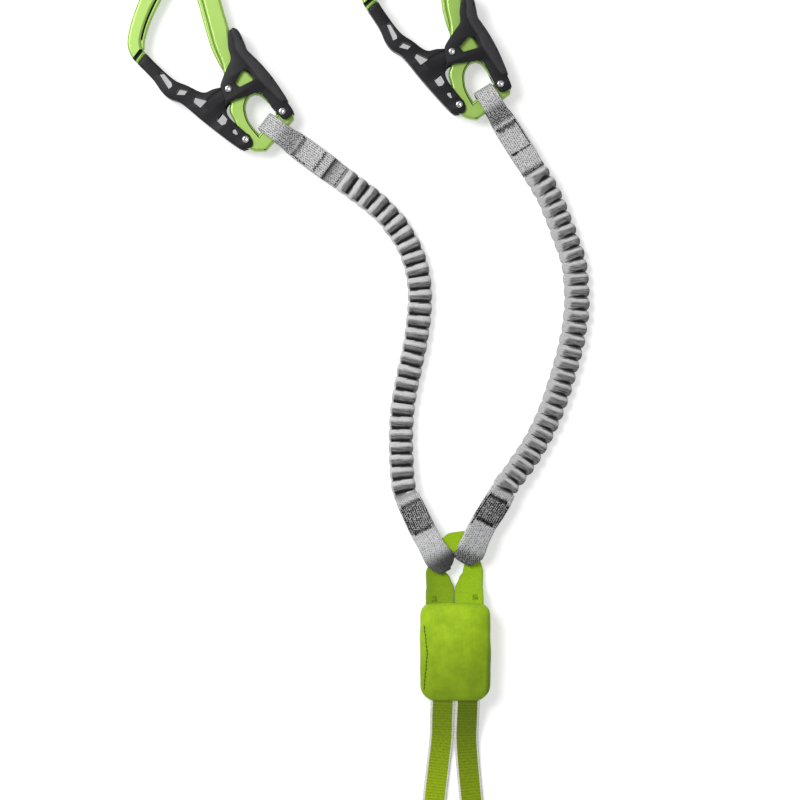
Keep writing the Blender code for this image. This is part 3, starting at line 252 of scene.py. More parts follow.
# Absorber
POUCH_WIDTH = 0.0424
POUCH_LENGTH = 0.0580
POUCH_HEIGHT = 0.0240
POUCH_WALL = 0.0016
POUCH_ROUNDING = 0.0065
POUCH_VOXEL = 0.0014
CLOTH_FRAMES = 20
POUCH_SWELL = 0.0012          # the room left for the cloth to blow up into
COVER_THREAD = 0.00062        # the pitch of its weave
POUCH_CROWN = 0.0036          # how much lower the top is at the edges than in its middle
POUCH_TILT = 0.0012           # how much lower it is at the harness loop's end
POUCH_SLUMP = 0.0045          # how much further that end sinks
POUCH_RIPPLE = 0.0006
POUCH_SIDE_RIPPLE = 0.0004
SHOULDER_REACH = 0.0004       # how far the corners stand out sideways
SHOULDER_RISE = 0.0003        # and endways
END_BULGE = 0.0007            # how far the end under the sling bulges between them
EXIT_SHARE = 0.46             # how high the openings' middle lies, of the pouch's height
EXIT_ROOM = 0.0014            # how much larger the cover's openings are than the webbing
EXIT_DEPTH = 0.0120           # of the tools that cut them
HEM_ROOM = (0.0020, 0.0012)   # how much higher and wider the hems are
HEM_RADIUS = 0.0007
HEM_INSET = 0.0014
# The sewn line down the cover, as y and x, and its thread.
POUCH_SEAM = ((-0.0222, -0.0187), (-0.0132, -0.0179), (0.0006, -0.0168), (0.0166, -0.0187))
SEAM_GROOVE = 0.0008          # its depth and its half width
SEAM_SWAY = 0.0003
SEAM_STITCH = 0.0022
SEAM_RADIUS = 0.00032
SEAM_LIFT = 0.00014
SEAM_DIP = -0.0004            # at the stitch holes
# Where the cover's painted shade changes: down its length, across it and up its side.
COVER_SHADE = (-0.022, 0.024)
COVER_BAND = (0.0182, 0.0200)
COVER_BAND_RISE = (0.003, 0.008)
COVER_BAND_DEEPENS = (-0.012, 0.018)
COVER_BAND_WIDENS = (-0.010, 0.020)
COVER_BAND_GAIN = 0.0012
COVER_LINING = (0.0020, 0.0028, 0.0022)     # how far in from the faces its inside is painted dark, as shade in the openings
# The hems' painted shade: the one at the harness loop's end is darker, as the cover is there.
HEM_SHADES = (1.0, 0.7)
TAPE_WIDTH = 0.0250
TAPE_LENGTH = 0.0400
TAPE_THICKNESS = 0.0018
TAPE_LAYERS = 8
TAPE_DROP = 0.0050            # how much lower the folded tape lies under the crowned cover

# Sling between the arms and the absorber
SLING_WIDTH = 0.0168
SLING_THICKNESS = 0.0022
SLING_REACH = 0.0373
SLING_SPREAD = 0.0174
SLING_MIDDLE = -0.0003        # x half way between the legs at the pouch
BIGHT_MIDDLE = -0.0019        # x of the bight between the lower eyes
LOOP_HEIGHT = 0.0086          # z of the sling in the lower eyes, and of the tubes' ends
UNDER_TOP = 0.0041            # z that the sling stays below, under the eyes
LEG_FULLNESS = 1.03           # how wide the sling lies in the pouch's opening
# Up each leg of the sling: shares of its reach, how far outwards in half widths, how high
# between the level under the eye and the pouch's opening, and how wide.
LEG_SHARES = (
    (0.12, 0.0, 0.72, 1.03), (0.22, 0.0, 0.40, 1.02), (0.34, 0.12, 0.10, 0.90),
    (0.48, 0.28, 0.0, 0.74),
)
# Under each lower eye: places outwards and towards its tip in eye widths, and how wide and
# how thick the bunched sling is there; then the turn of its width there, in degrees.
UNDER_SHARES = (
    (0.06, 0.56, 0.50, 1.2), (-0.08, 0.29, 0.29, 1.45), (-0.12, 0.13, 0.25, 1.55),
    (-0.05, 0.0, 0.25, 1.55), (0.09, -0.01, 0.27, 1.35), (0.27, 0.0, 0.31, 1.1),
)
UNDER_TURNS = (0.0, 20.0, 35.0, 60.0, 85.0, 90.0)
# Up round the eye's side: places outwards, and shares of the rise.
TURN_SHARES = ((0.33, 0.12), (0.36, 0.5), (0.33, 0.87))
TURN_REACH = {"left": 1.0, "right": 0.78}     # the right eye is narrower on its outer side
# Back through the eye: as under it.
THROUGH_SHARES = (
    (0.27, 0.0, 0.33, 1.1), (0.09, 0.0, 0.38, 1.1), (-0.09, 0.0, 0.42, 1.15),
    (-0.39, 0.05, 0.50, 1.15),
)
BIGHT_WIDTH_SHARE = 0.70
BIGHT_SAG = 0.0006            # how far the wider bight hangs towards the pouch
SLING_CREASE = 0.0005
# The loose stitches on its legs: the middle of each row.
SLING_STITCHES = {"right": (0.0120, 0.0330), "left": (-0.0125, 0.0318)}
SLING_STITCH_COUNT = 5
SLING_STITCH_SLANT = 0.0030
SLING_STITCH_REACH = 0.0016
SLING_THREAD_RADIUS = 0.00012
SLING_THREAD_LIFT = 0.00002

# Harness loop
TIE_WIDTH = 0.0145
TIE_THICKNESS = 0.0022
TIE_LENGTH = 0.1400
TIE_SPREAD = 0.0149
TIE_BIGHT_RADIUS = 0.0140
TIE_RISE = 0.0002             # above the table
TIE_PARTING = (0.20, 0.70)    # shares of the way down where the legs part and are fully apart
TIE_LEAN = 0.0012             # how far the legs lie over to the left half way down
TIE_SHADE = (-0.010, 0.070)   # where the pouch's painted shadow on the webbing fades, down from the pouch
# Down each leg of the loop: shares of its length, of the drop from the pouch's opening, and
# of the turn on edge.
TIE_LEG_SHARES = (
    (0.08, 0.62, 0.0), (0.18, 0.18, 0.0), (0.30, 0.0, 0.0), (0.46, 0.0, 0.0),
    (0.58, 0.0, 0.05), (0.68, 0.0, 0.25), (0.78, 0.0, 0.55), (0.88, 0.0, 0.85),
)

# The arms' routes: from the top eye to the lower eye, x and y from the tube's lower end,
# z above the table.
LEFT_ROUTE = (
    (-0.04095, 0.19598, 0.0088), (-0.0377, 0.1936, 0.0088), (-0.0345, 0.1912, 0.0087),
    (-0.0231, 0.1827, 0.0070), (-0.0138, 0.1740, 0.0055), (-0.0063, 0.1642, 0.0047),
    (-0.0003, 0.1534, 0.0046), (0.0039, 0.1402, 0.0046), (0.0054, 0.1262, 0.0046),
    (0.0047, 0.1132, 0.0046), (0.0024, 0.0964, 0.0046), (-0.0015, 0.0784, 0.0046),
    (-0.0048, 0.0604, 0.0046), (-0.0060, 0.0430, 0.0047), (-0.0058, 0.0290, 0.0056),
    (-0.0051, 0.0165, 0.0074), (-0.0036, 0.0072, 0.0085), (-0.0018, 0.0036, 0.0086),
    (0.0000, 0.0000, 0.0086),
)
RIGHT_ROUTE = (
    (0.02091, 0.19599, 0.0088), (0.0230, 0.1926, 0.0088), (0.0252, 0.1892, 0.0087),
    (0.0303, 0.1798, 0.0072), (0.0355, 0.1674, 0.0055), (0.0403, 0.1546, 0.0047),
    (0.0446, 0.1418, 0.0046), (0.0462, 0.1278, 0.0046), (0.0464, 0.1138, 0.0046),
    (0.0445, 0.0988, 0.0046), (0.0416, 0.0858, 0.0046), (0.0370, 0.0698, 0.0046),
    (0.0316, 0.0538, 0.0046), (0.0254, 0.0398, 0.0047), (0.0182, 0.0272, 0.0056),
    (0.0100, 0.0155, 0.0074), (0.0036, 0.0072, 0.0085), (0.0018, 0.0036, 0.0086),
    (0.0000, 0.0000, 0.0086),
)

# Each side: route, direction from the tube to the carabiner, direction of the lower eye
# away from the tube, turn of the carabiner, side of the sling, and the place of its lower
# eye from the middle of the sling's bight.
SIDES = {
    "left": (LEFT_ROUTE, 143.7, -63.4, 30.0, -1, (-0.0116, -0.0044)),
    "right": (RIGHT_ROUTE, 122.1, -116.2, 19.1, 1, (0.0156, 0.0001)),
}

# Outlines of the carabiner, as shares of FRAME_WIDTH and FRAME_LENGTH, from the middle of
# the eye bar.
GATE_PIVOT_SHARE = (-0.269, 0.024)
LEVER_PIVOT_SHARE = (0.132, 0.051)
STUD_SHARE = (-0.179, 0.269)
NOSE_SHARES = ((-0.7600, 0.5852), (-0.7063, 0.5978), (-0.6496, 0.6092))
TRACK_ANGLES = (50.0, 111.5)
FRAME_BACK_SHARES = (
    (-0.776, 0.634), (-0.753, 0.693), (-0.647, 0.764), (-0.466, 0.848), (-0.340, 0.897),
    (-0.144, 0.931), (0.037, 0.902), (0.156, 0.822), (0.179, 0.724), (0.119, 0.577),
    (0.094, 0.520, CORNER), (0.053, 0.472), (0.028, 0.409), (0.028, 0.354), (0.053, 0.283),
    (0.088, 0.213), (0.129, 0.142), (0.179, 0.091), (0.209, 0.051), (0.191, -0.005),
)
FRAME_FRONT_SHARES = (
    (-0.244, -0.047), (-0.291, -0.017), (-0.338, 0.024), (-0.303, 0.068), (-0.278, 0.122),
    (-0.268, 0.176), (-0.215, 0.220), (-0.185, 0.268), (-0.156, 0.331), (-0.118, 0.394),
    (-0.097, 0.477), (-0.041, 0.591), (0.012, 0.701), (0.032, 0.772), (-0.043, 0.838),
    (-0.144, 0.854), (-0.253, 0.835), (-0.466, 0.761), (-0.610, 0.691), (-0.654, 0.650),
)
BAR_END_SHARES = (0.147, -0.199)
FLANGE_SHARES = (
    (-0.691, 0.634, CORNER), (-0.647, 0.709), (-0.500, 0.787), (-0.294, 0.866),
    (-0.144, 0.886), (0.000, 0.858), (0.088, 0.795), (0.088, 0.724), (0.029, 0.583),
    (-0.015, 0.472), (-0.044, 0.362, CORNER), (-0.141, 0.362, CORNER), (-0.141, 0.414),
    (-0.128, 0.487), (-0.062, 0.633), (-0.024, 0.713), (-0.012, 0.764), (-0.071, 0.815),
    (-0.144, 0.829), (-0.230, 0.817), (-0.449, 0.743), (-0.590, 0.676),
    (-0.646, 0.634, CORNER),
)
EYELET_TOP_SHARES = (
    (-0.163, 0.080), (-0.153, 0.125), (-0.119, 0.164), (-0.046, 0.190), (0.024, 0.176),
    (0.059, 0.129), (0.082, 0.083),
)
EYELET_BAR_SHARES = (0.098, -0.128)
GATE_SHARES = (
    (-0.735, 0.539), (-0.710, 0.480), (-0.700, 0.417), (-0.672, 0.373), (-0.603, 0.327),
    (-0.519, 0.207), (-0.412, 0.066), (-0.362, 0.009), (-0.332, -0.014, CORNER),
    (-0.253, -0.019), (-0.221, 0.005), (-0.229, 0.036), (-0.288, 0.132), (-0.297, 0.178),
    (-0.251, 0.232, CORNER), (-0.229, 0.295, CORNER), (-0.303, 0.306), (-0.369, 0.310),
    (-0.410, 0.327), (-0.474, 0.378), (-0.550, 0.433), (-0.621, 0.548),
)
GATE_WINDOW_SHARES = (
    ((-0.638, 0.494), (-0.607, 0.488), (-0.588, 0.434), (-0.597, 0.417), (-0.631, 0.414)),
    ((-0.553, 0.388), (-0.497, 0.361), (-0.541, 0.350), (-0.607, 0.373)),
    ((-0.472, 0.318), (-0.394, 0.276), (-0.474, 0.262), (-0.501, 0.302)),
    ((-0.335, 0.185), (-0.322, 0.150), (-0.356, 0.136), (-0.387, 0.139), (-0.403, 0.171)),
    ((-0.325, 0.098), (-0.303, 0.095), (-0.307, 0.065), (-0.324, 0.067), (-0.340, 0.086)),
)
GATE_SLOT_SHARES = (
    (-0.356, -0.071), (-0.359, 0.024), (-0.371, 0.079), (-0.387, 0.142), (-0.391, 0.236),
    (-0.397, 0.354), (-0.059, 0.354), (-0.059, -0.071),
)
LEVER_SHARES = (
    (0.071, 0.500), (0.101, 0.506), (0.131, 0.499), (0.138, 0.480), (0.132, 0.429),
    (0.122, 0.383), (0.138, 0.346), (0.162, 0.301), (0.191, 0.213), (0.206, 0.113),
    (0.219, 0.024), (0.197, 0.013), (0.113, 0.014), (0.094, 0.039), (0.071, 0.105),
    (0.062, 0.156), (0.040, 0.184), (-0.040, 0.194), (-0.213, 0.213), (-0.260, 0.207),
    (-0.297, 0.191, CORNER), (-0.254, 0.232, CORNER), (-0.232, 0.294), (-0.193, 0.318),
    (-0.097, 0.358), (-0.028, 0.387), (0.003, 0.439),
)
LEVER_WINDOW_SHARES = (
    (0.019, 0.309), (0.051, 0.298), (0.059, 0.255), (0.041, 0.247), (-0.084, 0.250),
    (-0.106, 0.278), (-0.006, 0.309),
)
LEVER_SLOT_SHARES = (
    (0.151, 0.540), (0.127, 0.472), (0.098, 0.409), (0.089, 0.354), (0.103, 0.283),
    (0.131, 0.213), (0.168, 0.142), (0.191, 0.106), (0.250, 0.087), (0.250, -0.031),
    (-0.382, -0.031), (-0.382, 0.540),
)
GRIP_SHARES = (
    (0.124, 0.510), (0.084, 0.494), (0.065, 0.448), (0.040, 0.413), (0.044, 0.365),
    (0.072, 0.303), (0.079, 0.244), (0.109, 0.184), (0.146, 0.110), (0.171, 0.082, CORNER),
    (0.224, 0.082, CORNER), (0.224, 0.113), (0.209, 0.213), (0.179, 0.301), (0.154, 0.350),
    (0.138, 0.383), (0.149, 0.429), (0.154, 0.483),
)
GRIP_NOTCH_SHARES = (
    (0.134, 0.446), (0.146, 0.360), (0.158, 0.323), (0.185, 0.282), (0.197, 0.209),
)
GRIP_SEAT_SHARES = (
    (0.144, 0.540), (0.144, 0.480), (0.138, 0.429), (0.128, 0.383), (0.144, 0.348),
    (0.168, 0.302), (0.196, 0.213), (0.211, 0.113), (0.219, 0.063), (-0.088, 0.063),
    (-0.088, 0.540),
)

# Sizes that follow from those above
FRAME_HALF = FRAME_THICKNESS / 2
GATE_INNER = FRAME_HALF + CLEARANCE
GATE_HALF = GATE_INNER + GATE_CHEEK
LEVER_INNER = GATE_HALF + CLEARANCE
LEVER_HALF = LEVER_INNER + LEVER_CHEEK
GRIP_INNER = LEVER_HALF + CLEARANCE
GRIP_HALF = GRIP_INNER + GRIP_SKIN
CARABINER_HEIGHT = max(GRIP_HALF, GRIP_INNER + HEAD_HEIGHT)
NOSE_OFFSETS = [((x - GATE_PIVOT_SHARE[0]) * FRAME_WIDTH, (y - GATE_PIVOT_SHARE[1]) * FRAME_LENGTH)
                for x, y in NOSE_SHARES]
NOSE_ANGLES = [degrees(atan2(y, x)) for x, y in NOSE_OFFSETS]
NOSE_REACH = hypot(*NOSE_OFFSETS[1])
BAR_REACH = hypot(BAR_WIDTH / 2, FRAME_HALF - FRAME_ROUNDING)
EYE_RADIUS = BAR_REACH + EYE_SKEW + CLEARANCE
LAYER_OFFSET = (STRAP_THICKNESS + LAYER_GAP) / 2
POUCH_TOP = POUCH_LENGTH / 2
EXIT_HEIGHT = EXIT_SHARE * POUCH_HEIGHT
JUNCTION = Vector((BIGHT_MIDDLE, POUCH_TOP + SLING_REACH, LOOP_HEIGHT))



class Coat:
    """A material under construction, with short ways to add and join its nodes."""

    def __init__(self, name, roughness, metallic=0.0, **constants):
        self.material = bpy.data.materials.new(name)
        self.material.use_nodes = True
        self.tree = self.material.node_tree
        self.shader = self.tree.nodes["Principled BSDF"]
        self.shader.inputs["Roughness"].default_value = roughness
        self.shader.inputs["Metallic"].default_value = metallic
        for key, value in constants.items():
            self.shader.inputs[key.replace("_", " ")].default_value = value

    def put(self, socket, value):
        if isinstance(value, bpy.types.NodeSocket):
            self.tree.links.new(value, socket)
        elif isinstance(value, tuple) and len(value) == 3 and len(socket.default_value) == 4:
            socket.default_value = (*value, 1.0)
        else:
            socket.default_value = value

    def node(self, kind, values=None, **settings):
        made = self.tree.nodes.new("ShaderNode" + kind)
        for key, value in settings.items():
            setattr(made, key, value)
        for key, value in (values or {}).items():
            self.put(made.inputs[key], value)
        return made

    def calc(self, operation, first, second=0.0):
        return self.node("Math", {0: first, 1: second}, operation=operation).outputs[0]

    def add(self, first, second):
        return self.calc("ADD", first, second)

    def less(self, first, second):
        return self.calc("SUBTRACT", first, second)

    def times(self, first, second):
        return self.calc("MULTIPLY", first, second)

    def wave(self, value, pitch):
        return self.calc("SINE", self.times(value, 2 * pi / pitch))

    def blend(self, share, first, second):
        made = self.node("Mix", {0: share, 6: first, 7: second}, data_type="RGBA")
        return made.outputs[2]

    def ramp(self, value, low, high):
        """0 below low, 1 above high, smooth between."""
        made = self.node("MapRange", {0: value, 1: low, 2: high},
                         interpolation_type="SMOOTHSTEP")
        return made.outputs[0]

    def noise(self, vector, scale, detail=2.0, roughness=0.5):
        made = self.node("TexNoise", {"Vector": vector, "Scale": scale, "Detail": detail,
                                      "Roughness": roughness})
        return made.outputs["Fac"]

    def place(self):
        return self.node("TexCoord").outputs["Object"]

    def stretched(self, vector, scale):
        return self.node("Mapping", {0: vector, 3: scale}).outputs[0]

    def painted(self, name):
        """The strength painted on the mesh beside its colour."""
        return self.node("VertexColor", layer_name=name).outputs[1]

    def shaded(self, surface, name):
        """The surface's colour times a colour painted on the mesh."""
        painted = self.node("VertexColor", layer_name=name).outputs[0]
        made = self.node("Mix", {0: 1.0, 6: surface, 7: painted}, data_type="RGBA",
                         blend_type="MULTIPLY")
        return made.outputs[2]

    def chart(self, name):
        """Both coordinates of a UV map, and the map itself."""
        flat_map = self.node("UVMap", uv_map=name).outputs[0]
        parted = self.node("SeparateXYZ", {0: flat_map})
        return parted.outputs[0], parted.outputs[1], flat_map

    def colour(self, value):
        self.put(self.shader.inputs["Base Color"], value)

    def roughness(self, value):
        self.put(self.shader.inputs["Roughness"], value)

    def bump(self, height, distance, strength=1.0):
        made = self.node("Bump", {"Height": height, "Distance": distance, "Strength": strength})
        self.put(self.shader.inputs["Normal"], made.outputs[0])

    def floats(self, u, v, across, along):
        """Rows of oval yarn floats, each row half a float further on than the last."""
        row = self.calc("DIVIDE", u, across)
        shift = self.times(self.calc("FLOORED_MODULO", self.calc("FLOOR", row), 2.0), 0.5)
        turn = self.add(self.calc("DIVIDE", v, along), shift)
        return self.times(self.calc("ABSOLUTE", self.wave(row, 2.0)),
                          self.calc("ABSOLUTE", self.wave(turn, 2.0)))


def dimmed(colour, share):
    return tuple(value * share for value in colour)


def webbing_coat(name, light, dark, edge=None, across=1.25, along=1.3, specks=1.0, rib=0.0):
    """Woven webbing, drawn in millimetres by its weave map: a pale ground with uneven dark
    dashes in columns, which close up where the painted wear and painted shade are higher."""
    coat = Coat(name, 0.82, Sheen_Weight=0.12, Sheen_Roughness=0.5, Specular_IOR_Level=0.25)
    u, v, flat_map = coat.chart("weave")
    share = coat.chart("share")[0]
    sway = coat.noise(flat_map, 0.8, 2.0)
    mottle = coat.noise(coat.node("Mapping", {0: flat_map, 1: (7.3, 3.1, 0.0)}).outputs[0], 0.75,
                        2.0, 0.6)
    fibre = coat.noise(coat.stretched(flat_map, (4.5, 0.7, 1.0)), 1.0)
    height = coat.floats(coat.add(u, coat.times(sway, 0.7)), coat.add(v, coat.times(sway, 2.2)),
                         across, along)
    wear_and_shade = coat.painted("tone")
    value = coat.add(height, coat.times(coat.less(mottle, 0.5), 1.6))
    value = coat.add(value, coat.times(wear_and_shade, 0.72))
    dash = coat.times(coat.ramp(value, 0.66, 0.90), coat.add(coat.times(wear_and_shade, 0.7), 0.50))
    dash = coat.calc("MINIMUM", coat.times(dash, specks), 1.0)
    ground = coat.blend(coat.ramp(fibre, 0.25, 0.75), dimmed(light, 0.78), light)
    surface = coat.blend(dash, ground, dark)
    relief = coat.less(coat.times(fibre, 0.5), dash)
    if rib:
        lines = coat.times(coat.ramp(coat.wave(v, rib), 0.1, 0.9), coat.ramp(mottle, 0.30, 0.60))
        surface = coat.blend(coat.times(lines, 0.36), surface, dark)
        relief = coat.less(relief, lines)
    # times the painted tone, which holds painted light and shade as well as the webbing's own tone
    surface = coat.shaded(surface, "tone")
    if edge:
        rim = coat.ramp(coat.calc("ABSOLUTE", share), 0.80, 0.84)
        ticks = coat.ramp(coat.wave(v, 1.2), -0.2, 0.6)
        surface = coat.blend(rim, surface, coat.blend(ticks, dimmed(edge, 0.78), edge))
    coat.colour(surface)
    coat.roughness(coat.add(0.74, coat.times(mottle, 0.2)))
    coat.bump(relief, 0.00022, 0.8)
    return coat.material


def bungee_coat():
    """Gathered webbing: its painted light and shade follow the folds, with fine yarn lines across
    them.
    """
    coat = Coat("gathered_webbing", 0.85, Sheen_Weight=0.12, Sheen_Roughness=0.5,
                Specular_IOR_Level=0.2)
    flat_map = coat.chart("weave")[2]
    lines = coat.noise(coat.stretched(flat_map, (0.22, 1.3, 1.0)), 1.0, 3.0, 0.6)
    specks = coat.noise(coat.stretched(flat_map, (1.5, 2.0, 1.0)), 1.0)
    swing = coat.add(coat.times(coat.painted("fold"), 3.4), 0.5)
    lift = coat.add(coat.times(coat.less(lines, 0.5), swing), 1.0)
    lift = coat.add(lift, coat.times(coat.less(specks, 0.5), 0.5))
    lift = coat.calc("MAXIMUM", lift, 0.1)
    grey = coat.node("CombineColor", {0: lift, 1: lift, 2: lift}).outputs[0]
    coat.colour(coat.shaded(grey, "fold"))
    coat.bump(coat.add(lines, coat.times(specks, 0.4)), 0.0003, 0.8)
    return coat.material


def thread_coat(name, dark, light):
    """Twisted sewing thread."""
    coat = Coat(name, 0.6, Sheen_Weight=0.04, Specular_IOR_Level=0.2)
    strand = coat.noise(coat.place(), 2600.0, 2.0)
    coat.colour(coat.blend(strand, dark, light))
    coat.bump(strand, 0.0001, 0.5)
    return coat.material


def alloy_coat():
    """Satin green anodising, with a fine blasted grain."""
    coat = Coat("green_alloy", 0.4, 0.4, Coat_Weight=0.10, Coat_Roughness=0.3)
    spot = coat.place()
    cloud = coat.noise(spot, 70.0, 3.0)
    coat.colour(coat.blend(cloud, (0.32, 0.53, 0.09), (0.40, 0.62, 0.14)))
    coat.roughness(coat.add(0.30, coat.times(cloud, 0.16)))
    coat.bump(coat.noise(spot, 1900.0, 2.0), 0.00003, 0.6)
    return coat.material


def groove_shade_coat(name, dark, light):
    """Darker, matt anodising for the bottom of narrow grooves and slots, as painted shade in them.
    """
    coat = Coat(name, 0.7, 0.2)
    coat.colour(coat.blend(coat.noise(coat.place(), 300.0, 2.0), dark, light))
    return coat.material


def moulding_coat():
    """Black glass-filled nylon, lightly mottled, and paler at its sharp edges as rubbed wear and a
    painted highlight.
    """
    coat = Coat("black_moulding", 0.42, Specular_IOR_Level=0.22)
    spot = coat.place()
    cloud = coat.noise(spot, 160.0, 3.0)
    surface = coat.blend(cloud, (0.005, 0.005, 0.006), (0.015, 0.015, 0.018))
    # Paler where the edges are sharp: rubbed wear, and a painted highlight along them.
    rubbed = coat.ramp(coat.node("NewGeometry").outputs["Pointiness"], 0.52, 0.60)
    coat.colour(coat.blend(coat.times(rubbed, 0.5), surface, (0.07, 0.07, 0.08)))
    coat.roughness(coat.add(0.34, coat.times(cloud, 0.2)))
    coat.bump(coat.noise(spot, 2400.0, 2.0), 0.00004, 0.6)
    return coat.material


def rubber_coat():
    """Dark grip rubber with a soft grain."""
    coat = Coat("grip_rubber", 0.5, Specular_IOR_Level=0.25, Sheen_Weight=0.08)
    spot = coat.place()
    grain = coat.noise(spot, 1500.0, 3.0)
    coat.colour(coat.blend(coat.noise(spot, 190.0, 2.0), (0.020, 0.019, 0.022),
                           (0.042, 0.040, 0.046)))
    coat.roughness(coat.add(0.42, coat.times(grain, 0.2)))
    coat.bump(grain, 0.00006, 0.6)
    return coat.material


def steel_coat(name, base, roughness):
    """Bright steel with fine scratches."""
    coat = Coat(name, roughness, 1.0)
    scratch = coat.noise(coat.place(), 900.0, 3.0)
    coat.colour(coat.blend(scratch, dimmed(base, 0.8), base))
    coat.roughness(coat.add(roughness - 0.06, coat.times(scratch, 0.14)))
    coat.bump(scratch, 0.00002, 0.5)
    return coat.material


def cover_coat():
    """Fine plain-woven lime cloth, drawn along all three axes, and darkened by the shade painted
    on the cover.
    """
    coat = Coat("lime_cover_cloth", 0.7, Sheen_Weight=0.1, Sheen_Roughness=0.4,
                Specular_IOR_Level=0.3)
    spot = coat.place()
    parted = coat.node("SeparateXYZ", {0: spot})
    x, y, z = [coat.wave(parted.outputs[axis], COVER_THREAD) for axis in range(3)]
    weave = coat.add(coat.add(coat.times(x, y), coat.times(y, z)), coat.times(x, z))
    cloud = coat.noise(spot, 90.0, 3.0, 0.65)
    slub = coat.noise(coat.stretched(spot, (900.0, 60.0, 900.0)), 1.0)
    tone = coat.add(coat.ramp(cloud, 0.30, 0.72), coat.times(slub, 0.6))
    surface = coat.blend(coat.times(tone, 0.62), (0.26, 0.45, 0.002), (0.46, 0.70, 0.014))
    surface = coat.blend(coat.times(coat.ramp(weave, 0.2, 1.2), 0.25), surface,
                         (0.54, 0.76, 0.05))
    coat.colour(coat.shaded(surface, "tone"))
    coat.bump(coat.add(coat.times(weave, 0.4), slub), 0.00010, 0.5)
    return coat.material


def floor_coat():
    """A white table top that keeps the object's soft shadow."""
    coat = Coat("white_table", 0.9, Specular_IOR_Level=0.1)
    coat.colour((0.82, 0.82, 0.82))
    path = coat.node("LightPath")
    seen = coat.calc("MAXIMUM", path.outputs["Is Camera Ray"],
                     coat.calc("MAXIMUM", path.outputs["Is Glossy Ray"],
                               path.outputs["Is Transmission Ray"]))
    coat.put(coat.shader.inputs["Emission Color"], (1.0, 1.0, 1.0))
    coat.put(coat.shader.inputs["Emission Strength"], coat.times(seen, 0.47))
    return coat.material


def heading(angle):
    """A direction on the table."""
    return Vector((cos(radians(angle)), sin(radians(angle)), 0.0))


def polar(centre, radius, angle):
    return (centre[0] + radius * cos(radians(angle)), centre[1] + radius * sin(radians(angle)))


def arc(middle, radius, first, sweep, steps):
    """Points round a middle, from a first turn and over a sweep."""
    turns = [first + sweep * k / steps for k in range(steps + 1)]
    return [(middle[0] + radius * cos(turn), middle[1] + radius * sin(turn)) for turn in turns]


def plan(shares):
    """Places on the frame from shares of its width and length, still marked where sharp."""
    return [(share[0] * FRAME_WIDTH, share[1] * FRAME_LENGTH) + tuple(share[2:])
            for share in shares]


def corners(points):
    return [Vector(point[:2]) for point in points]


def bar_point(along, across):
    """A place along and across the slanted eye bar, from its middle."""
    turn = radians(BAR_ANGLE)
    return (along * cos(turn) - across * sin(turn), along * sin(turn) + across * cos(turn))


def span(before, start, end, after, steps):
    """Points on the smooth curve from start to end, leaving out the end."""
    third = (end - start).length / 3
    leave = (end - before).normalized() * third
    arrive = (after - start).normalized() * third
    return interpolate_bezier(start, start + leave, end - arrive, end, steps + 1)[:-1]


def neighbours(items, i):
    """An item, the next one, and those before and after them, where there are any."""
    return items[max(i - 1, 0)], items[i], items[i + 1], items[min(i + 2, len(items) - 1)]


def trace(points):
    """A closed outline through the points: smooth at each, and sharp at the marked ones."""
    count = len(points)
    spots = [Vector(point[:2]).to_3d() for point in points]
    sharp = [len(point) > 2 for point in points]
    traced = []
    for i, start in enumerate(spots):
        j = (i + 1) % count
        if sharp[i] and sharp[j]:
            traced.append(start)
            continue
        before = start if sharp[i] else spots[i - 1]
        after = spots[j] if sharp[j] else spots[(j + 1) % count]
        traced += span(before, start, spots[j], after, TRACE_STEPS)
    return [point.to_2d() for point in traced]


def wound(points, clockwise):
    """The outline, turned to run the way that is asked for."""
    area = sum(a.x * b.y - b.x * a.y for a, b in zip(points, points[1:] + points[:1]))
    return points[::-1] if (area < 0) != clockwise else points


def link(obj):
    SCENE.collection.objects.link(obj)
    return obj


def baked(obj, name):
    """The object with its modifiers applied, as a new mesh object at the same place."""
    graph = bpy.context.evaluated_depsgraph_get()
    mesh = bpy.data.meshes.new_from_object(obj.evaluated_get(graph))
    made = link(bpy.data.objects.new(name, mesh))
    made.matrix_world = obj.matrix_world
    bpy.data.objects.remove(obj)
    made.name = name
    mesh.name = name
    return made


def welded(obj):
    """The object with points that meet made one, and its faces turned outwards."""
    shape = bmesh.new()
    shape.from_mesh(obj.data)
    bmesh.ops.remove_doubles(shape, verts=shape.verts, dist=WELD)
    bmesh.ops.recalc_face_normals(shape, faces=shape.faces)
    shape.to_mesh(obj.data)
    shape.free()
    return obj


def settled(obj):
    """Moves an object's placement into its mesh."""
    bpy.context.view_layer.update()
    obj.data.transform(obj.matrix_world)
    obj.matrix_world = Matrix.Identity(4)
    return obj


def flat(name, outline, half, rounding=0.0, holes=(), steps=3):
    """An outline extruded to a half thickness each way, with its edges rounded."""
    curve = bpy.data.curves.new(name, "CURVE")
    curve.dimensions = "2D"
    curve.fill_mode = "BOTH"
    curve.extrude = half - rounding
    curve.bevel_depth = rounding
    curve.bevel_resolution = steps
    curve.offset = -rounding
    for loop in [wound(outline, True)] + [wound(hole, False) for hole in holes]:
        spline = curve.splines.new("POLY")
        spline.points.add(len(loop) - 1)
        spline.use_cyclic_u = True
        for point, place in zip(spline.points, loop):
            point.co = (place.x, place.y, 0.0, 1.0)
    return welded(baked(link(bpy.data.objects.new(name, curve)), name))


def drum(radius, low, high, middle=(0.0, 0.0), sides=32):
    """A cylinder between two heights."""
    bpy.ops.mesh.primitive_cylinder_add(vertices=sides, radius=radius, depth=high - low)
    made = bpy.context.object
    made.location = (middle[0], middle[1], (high + low) / 2)
    return made


def bored(radius, half, spot):
    """A drum that cuts right through a plate of that half thickness."""
    return drum(radius, -half - OVERRUN, half + OVERRUN, spot)


def sunk(outline, half, depth):
    """Tools that cut an outline to a depth into both faces of a plate."""
    tools = []
    for face in (-1, 1):
        tool = flat("sunk", outline, depth)
        tool.location.z = face * half
        tools.append(tool)
    return tools


